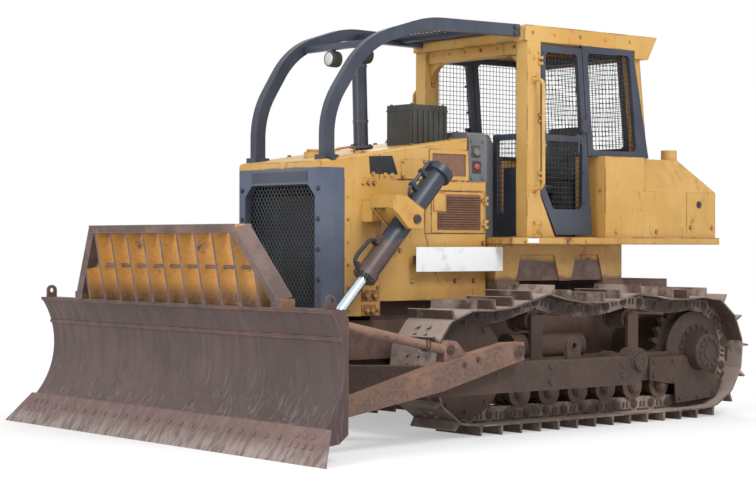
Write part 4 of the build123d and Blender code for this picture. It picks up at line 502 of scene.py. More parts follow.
def blank_sheet(name, colour):
    """A bare panel with no print: slight ripple, patches of grime and scratches."""
    c = colours()
    g = Graph(bpy.data.materials.new(name))
    grime = g.noise(7, 7, 0.68)
    scratch = g.noise(70, 3, 0.5, stretch=(0.15, 0.15, 1)).above(0.68, 0.72) * 0.25
    base = g.blend(grime.above(0.52, 0.78) * 0.4, colour, c.earth)
    base = g.blend(scratch, base, shade_of(colour, 0.6))
    return g.surface(Base_Color=base, Roughness=0.45 + grime * 0.2, Metallic=0.0,
                     Normal=g.bump(g.noise(2.2, 3), 0.006, 0.4))


def lamp_glass(name, colour):
    g = Graph(bpy.data.materials.new(name))
    ribs = g.noise(60, 2, 0.4, stretch=(0.1, 1, 0.1))
    base = g.blend(g.noise(9, 5).above(0.5, 0.8) * 0.4, colour, shade_of(colour, 0.6))
    return g.surface(Base_Color=base, Roughness=0.12 + ribs * 0.1, Metallic=0.0, Coat_Weight=1.0,
                     Normal=g.bump(ribs, 0.002, 0.6))


PAINTS = {}


def paint_shop():
    """Make each finish once and keep it by name."""
    c = colours()
    PAINTS.update(
        yellow=weathered_paint("weathered_yellow", c.yellow, c.pale_yellow, chip=0.02),
        tired_yellow=weathered_paint("tired_yellow", c.yellow, c.pale_yellow, chip=0.085, dust=0.9),
        # Engine block and main frame: yellow darkened to a third and browned low down, grime and painted
        # shade under the deck and hood.
        grimy=weathered_paint("grimy_yellow", shade_of(c.yellow, 0.3), shade_of(c.pale_yellow, 0.4),
                              chip=0.09, dust=1.2, bare=1.15),
        supports=weathered_paint("support_yellow", c.yellow, c.pale_yellow, chip=0.06, dust=1.0, bare=1.20),
        # Deck skirt: dark brown below 1.34 m, flaked paint and painted shade under the deck.
        skirt=weathered_paint("skirt_yellow", c.yellow, c.pale_yellow, chip=0.06, dust=1.0, bare=1.34),
        hood=weathered_paint("hood_yellow", c.yellow, c.pale_yellow, chip=0.035, dust=0.6,
                             brown=[SCREEN_ZONE]),
        louvres=weathered_paint("louvred_door", c.yellow, c.pale_yellow, chip=0.02, brown=LOUVRE_ZONES),
        guard=weathered_paint("guard_paint", shade_of(c.guard, 0.55), shade_of(c.guard_faded, 0.6),
                              chip=-0.045, dust=0.3, gloss=0.34),
        nose=weathered_paint("nose_paint", shade_of(c.guard, 1.3), shade_of(c.guard_faded, 1.2), chip=-0.03,
                             dust=0.3, gloss=0.38, core_shade=[CORE_SHADE_ZONE]),
        barrel=weathered_paint("barrel_paint", shade_of(c.guard, 0.4), shade_of(c.guard_faded, 0.4),
                               chip=-0.02, dust=0.2, gloss=0.36, bare=1.50),
        brown_screen=earthy_iron("brown_screen", earth=0.5, polish=0.1),
        frame_iron=earthy_iron("frame_iron", earth=0.4, polish=0.2, ochre=0.02, shade=0.72),
        brace=earthy_iron("brace_iron", earth=0.7, polish=0.2, ochre=0.04, shade=1.9),
        drive=earthy_iron("drive_iron", earth=0.3, polish=0.15, ochre=0.03, shade=0.6),
        roller=earthy_iron("roller_iron", earth=0.5, polish=0.3, ochre=0.08),
        link=earthy_iron("link_iron", earth=0.45, polish=0.4, ochre=0.06, shade=0.8),
        shoe=earthy_iron("shoe_iron", earth=0.95, polish=0.9, soil=c.sand, settled=0.32),
        rack=rack_iron("rack_iron"),
        gauge=stippled_plastic("dull_gauge", (0.13, 0.13, 0.13), grain=200, rough=0.3),
        # Dark iron with next to no earth: painted shade in the link recesses, also used for the dark hood
        # seams.
        shadow=earthy_iron("dark_recess", earth=0.05, polish=0.0),
        wire=stippled_plastic("mesh_wire", (0.020, 0.024, 0.034), grain=200, rough=0.5),
        grille=stippled_plastic("grille_mesh", (0.040, 0.046, 0.052), grain=200, rough=0.5),
        blade=scoured_blade("scoured_blade"),
        edge=ground_steel("ground_steel"),
        chrome=polished_chrome("polished_chrome"),
        black=stippled_plastic("faded_black", (0.035, 0.035, 0.030)),
        rubber=stippled_plastic("hose_rubber", (0.018, 0.018, 0.019), grain=160, rough=0.6),
        seat=stippled_plastic("seat_vinyl", tuple(c.seat), grain=240, rough=0.42),
        dash=stippled_plastic("grey_dash", tuple(c.dash), grain=120, rough=0.5, spread=1.15),
        sign=blank_sheet("blank_sign", tuple(c.plate)),
        decal=blank_sheet("dark_decal", (0.012, 0.014, 0.02)),
        clear_lamp=lamp_glass("clear_lamp", (0.50, 0.51, 0.52)),
        amber_lamp=lamp_glass("amber_lamp", (0.62, 0.26, 0.05)),
        red_lamp=lamp_glass("red_lamp", (0.34, 0.03, 0.04)),
    )


# Mesh building


def around(out):
    """A way out as a unit vector, and two ways square to it."""
    out = Vector(out).normalized()
    side = out.orthogonal().normalized()
    return out, side, out.cross(side)


class Shape:
    """Collects the corners and faces of one mesh."""

    def __init__(self):
        self.corners = []
        self.faces = []
        self.round = []

    def add(self, corners, faces, smooth=False):
        start = len(self.corners)
        self.corners += [tuple(corner) for corner in corners]
        self.faces += [[start + i for i in face] for face in faces]
        self.round += [smooth] * len(faces)

    def prism(self, outline, rise):
        """A flat outline pushed along a vector."""
        count = len(outline)
        corners = [Vector(p) for p in outline]
        corners += [p + Vector(rise) for p in corners[:count]]
        faces = [list(range(count))[::-1], list(range(count, 2 * count))]
        faces += [[i, (i + 1) % count, (i + 1) % count + count, i + count] for i in range(count)]
        self.add(corners, faces)

    def block(self, low, high):
        (x0, y0, z0), (x1, y1, z1) = low, high
        self.prism([(x0, y0, z0), (x1, y0, z0), (x1, y1, z0), (x0, y1, z0)], (0, 0, z1 - z0))

    def beam(self, start, end, width, depth, across=LEFT):
        """A rectangular bar between two points; width lies along across."""
        start, end = Vector(start), Vector(end)
        side = Vector(across).normalized() * width / 2
        up = (end - start).cross(side).normalized() * depth / 2
        self.prism([start - side - up, start + side - up, start + side + up, start - side + up], end - start)

    def disc(self, centre, out, radius, thick, sides=16):
        out, side, other = around(out)
        ring = [Vector(centre) + (side * u + other * v) * radius for u, v in ring_of(sides, 1)]
        self.prism(ring, out * thick)

    def bolt(self, seat, out, width):
        """A washer with a hexagon head on it."""
        out = Vector(out).normalized()
        self.disc(seat, out, width * 0.68, width * 0.12, 12)
        self.disc(Vector(seat) + out * width * 0.12, out, width * 0.55, width * 0.42, 6)

    def pipe(self, points, radius, sides=10):
        """A round pipe along points, with its ends closed."""
        points = [Vector(p) for p in points]
        rings = []
        side = None
        for i, point in enumerate(points):
            ahead = points[min(i + 1, len(points) - 1)] - points[max(i - 1, 0)]
            ahead.normalize()
            side = ahead.orthogonal() if side is None else side - ahead * side.dot(ahead)
            side.normalize()
            other = ahead.cross(side)
            rings += [point + (side * u + other * v) * radius for u, v in ring_of(sides, 1)]
        faces = []
        for i in range(len(points) - 1):
            for k in range(sides):
                a, b = i * sides + k, i * sides + (k + 1) % sides
                faces.append([a, b, b + sides, a + sides])
        self.add(rings, faces, True)
        self.faces += [[len(self.corners) - len(rings) + k for k in range(sides)][::-1],
                       [len(self.corners) - sides + k for k in range(sides)]]
        self.round += [False, False]

    def ring(self, centre, out, radius, thick, sides=20):
        """A thin round hoop that lies across out."""
        centre = Vector(centre)
        out, side, other = around(out)
        corners = []
        for u, v in ring_of(sides, 1):
            spoke = side * u + other * v
            corners += [centre + spoke * (radius + thick * p) + out * thick * q for p, q in ring_of(6, 1)]
        faces = []
        for i in range(sides):
            for k in range(6):
                a, b = 6 * i, 6 * ((i + 1) % sides)
                faces.append([a + k, a + (k + 1) % 6, b + (k + 1) % 6, b + k])
        self.add(corners, faces, True)

    def dome(self, centre, out, radius, height, sides=20, steps=5):
        """A shallow dome on a round seat."""
        centre = Vector(centre)
        out, side, other = around(out)
        corners = []
        for step in range(steps):
            a = math.pi / 2 * step / steps
            corners += [centre + (side * u + other * v) * radius * math.cos(a) + out * height * math.sin(a)
                        for u, v in ring_of(sides, 1)]
        corners.append(centre + out * height)
        faces = [list(range(sides))[::-1]]
        for step in range(steps - 1):
            for k in range(sides):
                a, b = step * sides + k, step * sides + (k + 1) % sides
                faces.append([a, b, b + sides, a + sides])
        last = (steps - 1) * sides
        faces += [[last + k, last + (k + 1) % sides, len(corners) - 1] for k in range(sides)]
        self.add(corners, faces, True)

    def bead(self, points, radius):
        """A rippled weld bead."""
        points = [Vector(p) for p in points]
        fine = []
        for a, b in zip(points, points[1:]):
            fine += [a.lerp(b, t / 3) for t in range(3)]
        fine.append(points[-1])
        start = len(self.corners)
        self.pipe(fine, radius, 6)
        for i in range(0, len(fine), 2):
            for k in range(6):
                corner = Vector(self.corners[start + 6 * i + k])
                self.corners[start + 6 * i + k] = tuple(fine[i] + (corner - fine[i]) * 0.72)

    def pad(self, place, cells=36, edge=0.16):
        """An upholstered block: crowned faces, two stitched channels and a piped rim.

        place turns u, v, w from -1 to 1 into a point.
        """
        def rise(u, v):
            crown = ((1 - abs(u) ** 7) * (1 - abs(v) ** 7)) ** 0.28
            groove = sum(math.exp(-((u - line) / 0.035) ** 2) for line in (-0.36, 0.36))
            cross = math.exp(-((v + 0.30) / 0.035) ** 2)
            return crown * (0.78 + 0.22 * (1 - u * u) * (1 - v * v)) - 0.13 * crown * max(groove, cross)

        rows = [math.sin(math.pi / 2 * (2 * i / cells - 1)) for i in range(cells + 1)]
        corners = []
        for side in (1, -1):
            for u in rows:
                corners += [place(u * 0.985, v * 0.985, side * max(rise(u, v), 0)) for v in rows]
        faces = []
        count = cells + 1
        for side in (0, 1):
            for i in range(cells):
                for k in range(cells):
                    a = side * count * count + i * count + k
                    face = [a, a + count, a + count + 1, a + 1]
                    faces.append(face if side == 0 else face[::-1])
        self.add(corners, faces, True)
        for lift in (-0.42, 0.42):
            rim = [(1 - edge, 1), (1, 1 - edge), (1, edge - 1), (1 - edge, -1), (edge - 1, -1),
                   (-1, edge - 1), (-1, 1 - edge), (edge - 1, 1), (1 - edge, 1)]
            self.pipe(bend([place(u * 0.975, v * 0.975, lift) for u, v in rim], 0.02, 3), 0.005, 6)

    def mirrored(self):
        """This shape and its image on the machine's other side."""
        count = len(self.corners)
        self.corners += [(x, -y, z) for x, y, z in self.corners]
        self.faces += [[i + count for i in face][::-1] for face in self.faces]
        self.round += self.round
        return self

    def make(self, name, finish, body="chassis", slot="yellow_paint", bevel=0.0):
        """Turn the shape into one piece of the scene."""
        mesh = bpy.data.meshes.new(name)
        mesh.from_pydata(self.corners, [], self.faces)
        mesh.validate()
        mesh.update()
        if len(mesh.polygons) == len(self.round):
            mesh.polygons.foreach_set("use_smooth", self.round)
        mesh.materials.append(PAINTS[finish])
        piece = bpy.data.objects.new(name, mesh)
        bpy.context.scene.collection.objects.link(piece)
        if bevel:
            edge = piece.modifiers.new("Edge", "BEVEL")
            edge.width = bevel
            edge.segments = 1
            edge.limit_method = "ANGLE"
        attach(piece, body)
        return piece


def bend(points, radius, steps=6):
    """Points along a line whose corners are rounded."""
    points = [Vector(p) for p in points]
    path = [points[0]]
    for before, corner, after in zip(points, points[1:], points[2:]):
        reach = min(radius, (before - corner).length / 2, (after - corner).length / 2)
        start = corner + (before - corner).normalized() * reach
        end = corner + (after - corner).normalized() * reach
        for i in range(steps + 1):
            t = i / steps
            path.append(start * (1 - t) ** 2 + corner * 2 * t * (1 - t) + end * t ** 2)
    path.append(points[-1])
    return path


# Pieces

NODE_FINISH = {
    "main_frame": "grimy", "equalizer_bar": "frame_iron", "drawbar": "frame_iron",
    "engine_block": "grimy", "radiator_guard": "nose", "radiator_grille": "black",
    "cab_header": "yellow", "cowl": "dash", "hood": "hood", "exhaust_stack": "barrel", "pre_cleaner": "black",
    "deck": "tired_yellow",
    "fuel_tank": "yellow", "roof": "yellow", "cab_front": "guard", "cab_rear": "guard",
    "console": "dash", "seat_base": "black", "seat_cushion": "seat", "seat_back": "seat",
    "control_levers": "black", "cross_bars": "guard", "work_lamps": "black", "moldboard": "blade",
    "cutting_edge": "edge", "lifting_eyes": "blade", "trash_rack": "rack",
    "c_frame": "frame_iron", "deck_supports": "supports", "cab_posts": "yellow",
    "grab_handles": "yellow", "cylinder_yokes": "yellow", "track": "shoe", "final_drive": "drive",
    "rollers": "roller", "track_frame": "frame_iron", "side_panel": "yellow",
    "engine_door": "louvres", "fender": "yellow", "cab_side": "guard", "cab_door": "guard",
    "brace": "brace", "lift_barrel": "barrel", "lift_rod": "chrome", "sweep_guard": "guard",
}


class PaintFrame(bpy.types.Operator):
    """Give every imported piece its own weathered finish"""

    bl_idname = "dozer.paint_frame"
    bl_label = "Paint the packed pieces"

    def execute(self, context):
        paint_shop()
        for name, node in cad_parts.items():
            kind = name.removesuffix("_left").removesuffix("_right")
            finish = PAINTS[NODE_FINISH[kind]]
            node.data.materials.clear()
            node.data.materials.append(finish)
        return {"FINISHED"}


class DressTracks(bpy.types.Operator):
    """Add the pin bosses, dark plates painted as the shade in the link recesses, and shoe bolts to both
    tracks
    """

    bl_idname = "dozer.dress_tracks"
    bl_label = "Tracks' pins and bolts"

    def execute(self, context):
        links = chain_links()
        for side, sign in SIDES:
            for dress, name, finish in ((self.links, "pins", "link"), (self.hole_shades, "link_hole_shades", "shadow"),
                                        (self.bolts, "bolts", "shoe")):
                dress(links, sign).make(f"track_{name}_{side}", finish, "chassis", "undercarriage_steel")
        return {"FINISHED"}

    @staticmethod
    def faces(sign):
        """The outer faces of the two link strands: place across the machine, and the way out."""
        return [(sign * (TRACK_Y + lean * LINK_FACE), sign * lean) for lean in (-1, 1)]

    def links(self, links, sign):
        shape = Shape()
        for start, way, out, span in links:
            for y, lean in self.faces(sign):
                centre = at(start.x, y, start.y)
                shape.disc(centre, (0, lean, 0), 0.036, 0.008, 14)
                shape.disc(centre, (0, lean, 0), 0.021, 0.014, 12)
                ledge = [start + way * (span * 0.22) + out * 0.040, start + way * (span * 0.80) + out * 0.040,
                         start + way * (span * 0.80) + out * 0.053, start + way * (span * 0.22) + out * 0.053]
                shape.prism([at(p.x, y, p.y) for p in ledge], (0, lean * 0.020, 0))
        return shape

    # Thin dark plates on the links' outer faces: painted shade where the link recesses are.
    def hole_shades(self, links, sign):
        shape = Shape()
        for start, way, out, span in links:
            for y, lean in self.faces(sign):
                for low, high in ((0.36, 0.47), (0.56, 0.67)):
                    slot = [start + way * (span * low) + out * 0.030,
                            start + way * (span * high) + out * 0.030,
                            start + way * (span * (high - 0.03)) - out * 0.018,
                            start + way * (span * (low - 0.03)) - out * 0.018]
                    shape.prism([at(p.x, y, p.y) for p in slot], (0, lean * 0.0015, 0))
        return shape

    def bolts(self, links, sign):
        s = sizes()
        shape = Shape()
        for start, way, out, span in links:
            face = LINK_HALF + SHOE_PLATE
            for along in (span * 0.42, span * 0.74):
                for across in (-LINK_FACE * 0.72, LINK_FACE * 0.72):
                    point = start + way * along + out * face
                    place = at(point.x, sign * (TRACK_Y + across), point.y)
                    shape.bolt(place, (out.x, 0, out.y), s.shoe_bolt)
        return shape


class DressUndercarriage(bpy.types.Operator):
    """Add the roller caps, hub bolts and guard bolts"""

    bl_idname = "dozer.dress_undercarriage"
    bl_label = "Rollers, hubs and guards"

    def execute(self, context):
        s = sizes()
        for side, sign in SIDES:
            drive = BOX[f"final_drive_{side}"]
            frame_box = BOX[f"track_frame_{side}"]
            hub_y = drive[1].y if sign > 0 else drive[0].y
            axle = at(0, hub_y, PIN_HEIGHT + SPROCKET_RADIUS)
            hub = Shape()
            hub.disc(axle, (0, sign, 0), 0.062, 0.006, 24)
            for x, z in ring_of(12, 0.112, 0.13):
                hub.bolt(axle + Vector((x, 0, z)), (0, sign, 0), s.bolt)
            for x, z in ring_of(18, 0.210, 0.2):
                hub.bolt(at(x, sign * 1.1385, axle.z + z), (0, sign, 0), s.bolt * 0.8)
            hub.make(f"hub_bolts_{side}", "drive")
            caps = Shape()
            rail_y = sign * (TRACK_Y + 0.128)
            for x in ROLLERS_X:
                caps.disc((x, rail_y, ROLLER_HEIGHT), (0, sign, 0), 0.046, 0.016, 18)
                caps.disc((x, rail_y + sign * 0.016, ROLLER_HEIGHT), (0, sign, 0), 0.030, 0.010, 16)
                for dx in (-0.038, 0.038):
                    caps.bolt((x + dx, rail_y, 0.345), (0, sign, 0), s.bolt * 0.9)
            caps.make(f"roller_caps_{side}", "roller", "chassis", "undercarriage_steel")
            guard = Shape()
            idler = at(WHEELBASE, sign * (TRACK_Y + LINK_FACE + 0.032), PIN_HEIGHT + IDLER_RADIUS)
            for x, z in ring_of(10, 0.340, 0.3):
                guard.bolt(idler + Vector((x, 0, z)), (0, sign, 0), s.bolt)
            guard.disc(idler, (0, sign, 0), 0.090, 0.012, 24)
            for x, z in ring_of(6, 0.066, 0.1):
                guard.bolt(idler + Vector((x, sign * 0.012, z)), (0, sign, 0), s.bolt * 0.7)
            plate_y = sign * (TRACK_Y + LINK_FACE + 0.084)
            for x, z in ((0.560, 0.490), (0.560, 0.370), (0.330, 0.490), (0.320, 0.310), (0.240, 0.170),
                         (0.020, 0.180), (-0.180, 0.200), (-0.265, 0.290)):
                guard.bolt(at(x, plate_y, z), (0, sign, 0), s.bolt)
            guard.make(f"guard_bolts_{side}", "frame_iron")
            pin = Shape()
            end_y = frame_box[1].y if sign > 0 else frame_box[0].y
            for x, z in ring_of(4, 0.042, 0.785):
                pin.bolt(at(TRUNNION[0] + x, end_y, TRUNNION[1] + z), (0, sign, 0), s.bolt * 0.6)
            pin.make(f"trunnion_bolts_{side}", "frame_iron")
        return {"FINISHED"}


class FitWindowMesh(bpy.types.Operator):
    """Weave wire mesh into the windows of the doors and the cab's walls"""

    bl_idname = "dozer.fit_window_mesh"
    bl_label = "Window mesh"

    door = (((1.352, 2.350), (1.352, 3.030), (0.985, 3.030), (0.922, 2.350)),
            ((1.352, 2.300), (0.922, 2.300), (0.923, 1.740), (1.262, 1.740), (1.352, 1.910)))
    side = (((0.259, 2.240), (0.797, 2.240), (0.865, 3.055), (0.354, 3.055)),)
    stepped = ((0.280, 1.710), (0.360, 1.710), (0.360, 2.082), (0.510, 2.082), (0.510, 2.310), (0.280, 2.310))
    rear = ((-0.500, 2.280), (0.500, 2.280), (0.500, 3.045), (-0.500, 3.045))

    def execute(self, context):
        for side, sign in SIDES:
            wall_y = sign * 0.670
            for name, panes, body in (("cab_door", self.door, f"cab_door_{side}"),
                                      ("cab_side", self.side, "chassis")):
                shape = Shape()
                for pane in panes:
                    self.weave(shape, [(AXLE_X + x, z) for x, z in pane],
                               lambda u, v, lift: (u, wall_y + lift, v))
                shape.make(f"{name}_mesh_{side}", "wire", body, "guard_paint")
            front = Shape()
            wall_x = BOX["cab_front"][0].x + 0.015
            self.weave(front, [(sign * y, z) for y, z in self.stepped],
                       lambda u, v, lift: (wall_x + lift, u, v))
            front.make(f"cab_front_mesh_{side}", "wire", "chassis", "guard_paint")
        back = Shape()
        lean = (0.303 - 0.214) / (3.045 - 2.280)
        self.weave(back, self.rear, lambda u, v, lift: at(0.194 + lean * (v - 2.280) + lift, u, v))
        back.make("cab_rear_mesh", "wire", "chassis", "guard_paint")
        return {"FINISHED"}

    @staticmethod
    def weave(shape, pane, place):
        """Upright and level wires, one layer just behind the other."""
        s = sizes()
        for way, lift in (((0, 1), 0.45), ((1, 0), -0.45)):
            for start, end in strands(pane, way, s.window_pitch):
                shape.pipe([place(*p, lift * s.window_wire) for p in (start, end)], s.window_wire / 2, 6)


class FitGrille(bpy.types.Operator):
    """Replace the grille's coarse diamonds by its fine expanded mesh"""

    bl_idname = "dozer.fit_grille"
    bl_label = "Grille mesh"

    def execute(self, context):
        s = sizes()
        low, high = BOX["radiator_grille"]
        corner = 0.090
        pane = [(low.y, low.z), (high.y, low.z), (high.y, high.z - corner), (high.y - corner, high.z),
                (low.y + corner, high.z), (low.y, high.z - corner)]
        mesh = Shape()
        for way, x in (((1, 1.35), low.x + 0.002), ((1, -1.35), low.x + 0.006)):
            for start, end in strands(pane, way, s.grille_pitch):
                mesh.beam((x, *start), (x, *end), 0.004, s.grille_strand, AHEAD)
        rim = 0.014
        for a, b in zip(pane, pane[1:] + pane[:1]):
            mesh.beam((low.x + 0.006, *a), (low.x + 0.006, *b), 0.012, rim, AHEAD)
        piece = mesh.make("grille_mesh", "grille", "chassis", "guard_paint")
        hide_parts("radiator_grille")
        return {"FINISHED"}


class DressNose(bpy.types.Operator):
    """Add the blank header, the guard's bolts, the side plates' bolts and the blank sign and decal"""

    bl_idname = "dozer.dress_nose"
    bl_label = "Nose and hood fittings"

    def execute(self, context):
        s = sizes()
        low, high = BOX["radiator_guard"]
        front = Shape()
        for y in (-0.49, 0.49):
            for i in range(5):
                front.bolt((high.x, y, 0.95 + 0.23 * i), AHEAD, s.bolt)
        for y in (-0.30, 0, 0.30):
            front.bolt((high.x, y, 0.88), AHEAD, s.bolt)
        front.make("nose_bolts", "guard", "chassis", "guard_paint")
        header = Shape()
        header.block((high.x, -0.36, 1.925), (high.x + 0.004, 0.36, 2.005))
        header.make("blank_header", "guard", "chassis", "guard_paint", bevel=0.001)
        plates = Shape()
        for x, z in ((2.985, 1.92), (3.040, 1.92), (3.095, 1.92)):
            plates.bolt(at(x + 0.06, SIDE_PLATE_FACE, z), LEFT, s.bolt)
        for x in (3.01, 3.30):
            for i in range(6):
                plates.bolt(at(x, SIDE_PLATE_FACE, 0.94 + 0.175 * i), LEFT, s.bolt * 0.7)
        for x0, x1, z in ((2.90, 3.05, 1.055), (2.93, 3.05, 0.945)):
            plates.block(at(x0 + 0.10, SIDE_PLATE_FACE, z - 0.042),
                         at(x1 + 0.12, SIDE_PLATE_FACE + 0.006, z + 0.042))
            for x in (x0 + 0.145, x1 + 0.075):
                plates.bolt(at(x, SIDE_PLATE_FACE + 0.006, z), LEFT, s.bolt * 1.5)
        for x, z in ((2.53, 1.972), (2.753, 1.972), (2.53, 2.096), (2.753, 2.096)):
            plates.bolt(at(x, SIDE_FACE + 0.006, z), LEFT, s.bolt * 0.8)
        for x, z in ((2.65, 1.16), (2.20, 1.16), (2.00, 1.16), (2.78, 1.40), (2.60, 1.30), (1.90, 1.46)):
            plates.bolt(at(x, SIDE_FACE, z), LEFT, s.bolt)
        for x, z in ((3.05, 1.99), (2.93, 1.985), (2.86, 1.985)):
            plates.disc(at(x, SIDE_FACE, z), LEFT, 0.017, 0.012, 16)
        plates.mirrored().make("side_bolts", "tired_yellow")
        seams = Shape()
        for start, end in (((2.985, 1.955), (2.985, 2.14)), ((2.52, 1.535), (2.40, 1.20)),
                           ((1.872, 1.535), (2.52, 1.535)), ((2.52, 1.535), (2.52, 1.94)),
                           ((2.80, 1.955), (2.52, 1.955))):
            seams.beam(at(start[0], SIDE_FACE, start[1]), at(end[0], SIDE_FACE, end[1]), 0.003, 0.006)
        seams.mirrored().make("hood_seams", "shadow")
        decal = Shape()
        outline = [(3.09, 2.124), (2.857, 2.135), (2.799, 1.99), (3.078, 1.99)]
        decal.prism([at(x, SIDE_FACE, z) for x, z in outline], (0, 0.002, 0))
        decal.mirrored().make("blank_decal", "decal")
        board = Shape()
        board.block(at(1.767, 0.6205, 1.235), at(2.69, 0.6245, 1.428))
        board.make("blank_sign", "sign", bevel=0.001)
        stays = Shape()
        for x in (2.02, 2.60):
            stays.block(at(x, SIDE_FACE, 1.30), at(x + 0.04, 0.6205, 1.36))
        stays.make("sign_stays", "frame_iron")
        return {"FINISHED"}


class DressHoodTop(bpy.types.Operator):
    """Add the hood's bolts, filler cap and bent rail, the stack's collars and the pre-cleaner's fittings"""

    bl_idname = "dozer.dress_hood_top"
    bl_label = "Hood top, stack and cleaner"

    def execute(self, context):
        s = sizes()
        top = Shape()
        for x in (2.20, 2.60, 3.10, 3.45):
            z = 2.2 + 0.13 * (2.77 - x) / 0.9 if x < 2.77 else 2.2 - 0.11 * (x - 2.77) / 0.75
            for y in (-0.47, 0.47):
                top.bolt(at(x, y, z - 0.001), UP, s.bolt)
        for z, radius, thick in ((2.125, 0.075, 0.045), (2.170, 0.055, 0.020)):
            top.disc(at(3.22, 0.0, z), UP, radius, thick, 24)
        top.pipe(bend([at(3.05, 0.30, 2.14), at(3.05, 0.30, 2.21), at(3.25, 0.30, 2.18),
                       at(3.25, 0.30, 2.11)], 0.03), 0.009)
        top.make("hood_top_fittings", "tired_yellow")
        stack = Shape()
        stack.disc(at(2.736, 0, 2.215), (0.03, 0, 1), 0.095, 0.022, 28)
        for x, y in ring_of(6, 0.078):
            stack.bolt(at(2.737 + x, y, 2.237), UP, s.bolt * 0.7)
        for z in (2.42, 2.86):
            stack.disc(at(2.735 + (z - 2.2) * 0.035, 0, z), (0.035, 0, 1), 0.0635, 0.022, 28)
        stack.make("stack_collars", "guard", "chassis", "exhaust_steel")
        low, high = BOX["pre_cleaner"]
        cleaner = Shape()
        cleaner.block((low.x - 0.004, low.y + 0.004, high.z - 0.05),
                      (high.x + 0.004, high.y - 0.004, high.z - 0.038))
        for i in range(9):
            x = low.x + 0.03 + (high.x - low.x - 0.06) * i / 8
            cleaner.block((x - 0.012, high.y - 0.0095, high.z - 0.034),
                          (x + 0.012, high.y - 0.006, high.z - 0.012))
        for x in (low.x + 0.03, high.x - 0.03):
            for y in (low.y + 0.03, high.y - 0.03):
                cleaner.bolt((x, y, high.z - 0.001), UP, s.bolt * 0.7)
        cleaner.make("cleaner_fittings", "black", "chassis", "cleaner_plastic")
        return {"FINISHED"}


class DressCowl(bpy.types.Operator):
    """Add the gauge, the red lamp and the bolts of the instrument cowl"""

    bl_idname = "dozer.dress_cowl"
    bl_label = "Cowl gauge and lamp"

    def execute(self, context):
        s = sizes()
        plates = Shape()
        plates.block(at(1.925, COWL_FACE, 2.148), at(2.020, COWL_FACE + 0.006, 2.243))
        plates.make("gauge_plate", "brown_screen", "chassis", "cowl_paint", bevel=0.002)
        lamp_plate = Shape()
        lamp_plate.block(at(1.918, COWL_FACE, 2.020), at(2.012, COWL_FACE + 0.006, 2.120))
        lamp_plate.make("lamp_plate", "frame_iron", "chassis", "cowl_paint", bevel=0.002)
        gauge = Shape()
        gauge.disc(at(1.972, COWL_FACE + 0.006, 2.195), LEFT, 0.034, 0.012, 24)
        gauge.ring(at(1.972, COWL_FACE + 0.018, 2.195), LEFT, 0.030, 0.004)
        gauge.make("gauge", "gauge", "chassis", "cowl_paint")
        lamp = Shape()
        lamp.dome(at(1.965, COWL_FACE + 0.006, 2.072), LEFT, 0.030, 0.020)
        lamp.make("red_lamp", "red_lamp", "chassis", "cowl_paint")
        bolts = Shape()
        for x, z in ((1.90, 1.98), (2.02, 1.98), (1.90, 2.28), (2.02, 2.28)):
            bolts.bolt(at(x, COWL_FACE, z), LEFT, s.bolt * 0.8)
        bolts.mirrored().make("cowl_bolts", "dash", "chassis", "cowl_paint")
        lid = Shape()
        lid.block(at(1.88, -0.36, 2.349), at(2.02, 0.36, 2.358))
        for y in (-0.33, 0.33):
            for x in (1.90, 2.00):
                lid.bolt(at(x, y, 2.358), UP, s.bolt * 0.7)
        lid.make("cowl_lid", "dash", "chassis", "cowl_paint", bevel=0.003)
        return {"FINISHED"}


class PlumbCylinders(bpy.types.Operator):
    """Add the oil pipes, clamps and head bolts of the lift cylinders"""

    bl_idname = "dozer.plumb_cylinders"
    bl_label = "Lift cylinders' pipes"

    pivot = (2.950, 1.640)
    eye = (3.808, 0.720)
    middle_y = 0.800
    front_pipe = ((-0.490, 0.090), (-0.490, 0.132), (-0.185, 0.132), (-0.150, 0.080))
    rear_pipe = ((0.325, 0.096), (0.350, 0.150), (0.520, 0.165), (0.575, 0.150), (0.575, 0.110))

    def execute(self, context):
        s = sizes()
        run = (Vector(self.eye) - Vector(self.pivot)).normalized()
        rise = Vector((-run.y, run.x))

        def spot(along, lift, sign):
            """A point along the cylinder, lifted square to it."""
            point = Vector(self.pivot) + run * along + rise * lift
            return at(point.x, sign * self.middle_y, point.y)

        for side, sign in SIDES:
            body = f"lift_barrel_{side}"
            down = Vector((run.x, 0, run.y))
            up = Vector((rise.x, 0, rise.y))
            bolts = Shape()
            for a in range(8):
                turn = 2 * math.pi * (a + 0.5) / 8
                spoke = up * math.cos(turn) + Vector(LEFT) * math.sin(turn)
                bolts.bolt(spot(-0.520, 0, sign) + spoke * 0.086, -down, s.bolt * 0.9)
                bolts.bolt(spot(0.600, 0, sign) + spoke * 0.074, down, s.bolt * 0.7)
            for along in (-0.459, 0.544):
                bolts.ring(spot(along, 0, sign), down, 0.083, 0.006)
            bolts.make(f"cylinder_bolts_{side}", "barrel", body, "cylinder_paint")
            pipe = Shape()
            pipe.pipe(bend([spot(d, h, sign) for d, h in self.front_pipe], 0.035), s.hose)
            for along in (-0.36, -0.22):
                foot, head = (spot(along - 0.018, lift, sign) for lift in (0.078, 0.150))
                pipe.beam(foot, head, 0.050, 0.030)
                pipe.bolt(head, up, s.bolt * 0.6)
            pipe.make(f"cylinder_pipe_{side}", "guard", body, "cylinder_paint")
            fitting = Shape()
            fitting.beam(spot(0.265, 0.076, sign), spot(0.345, 0.076, sign), 0.070, 0.060)
            fitting.disc(spot(0.575, 0.088, sign), up, 0.026, 0.034, 12)
            fitting.make(f"pipe_fitting_{side}", "frame_iron", body, "cylinder_paint")
            tail = Shape()
            tail.pipe(bend([spot(d, h, sign) for d, h in self.rear_pipe], 0.05), s.hose * 1.15)
            tail.make(f"cylinder_tail_{side}", "rubber", body, "cylinder_paint")
        return {"FINISHED"}


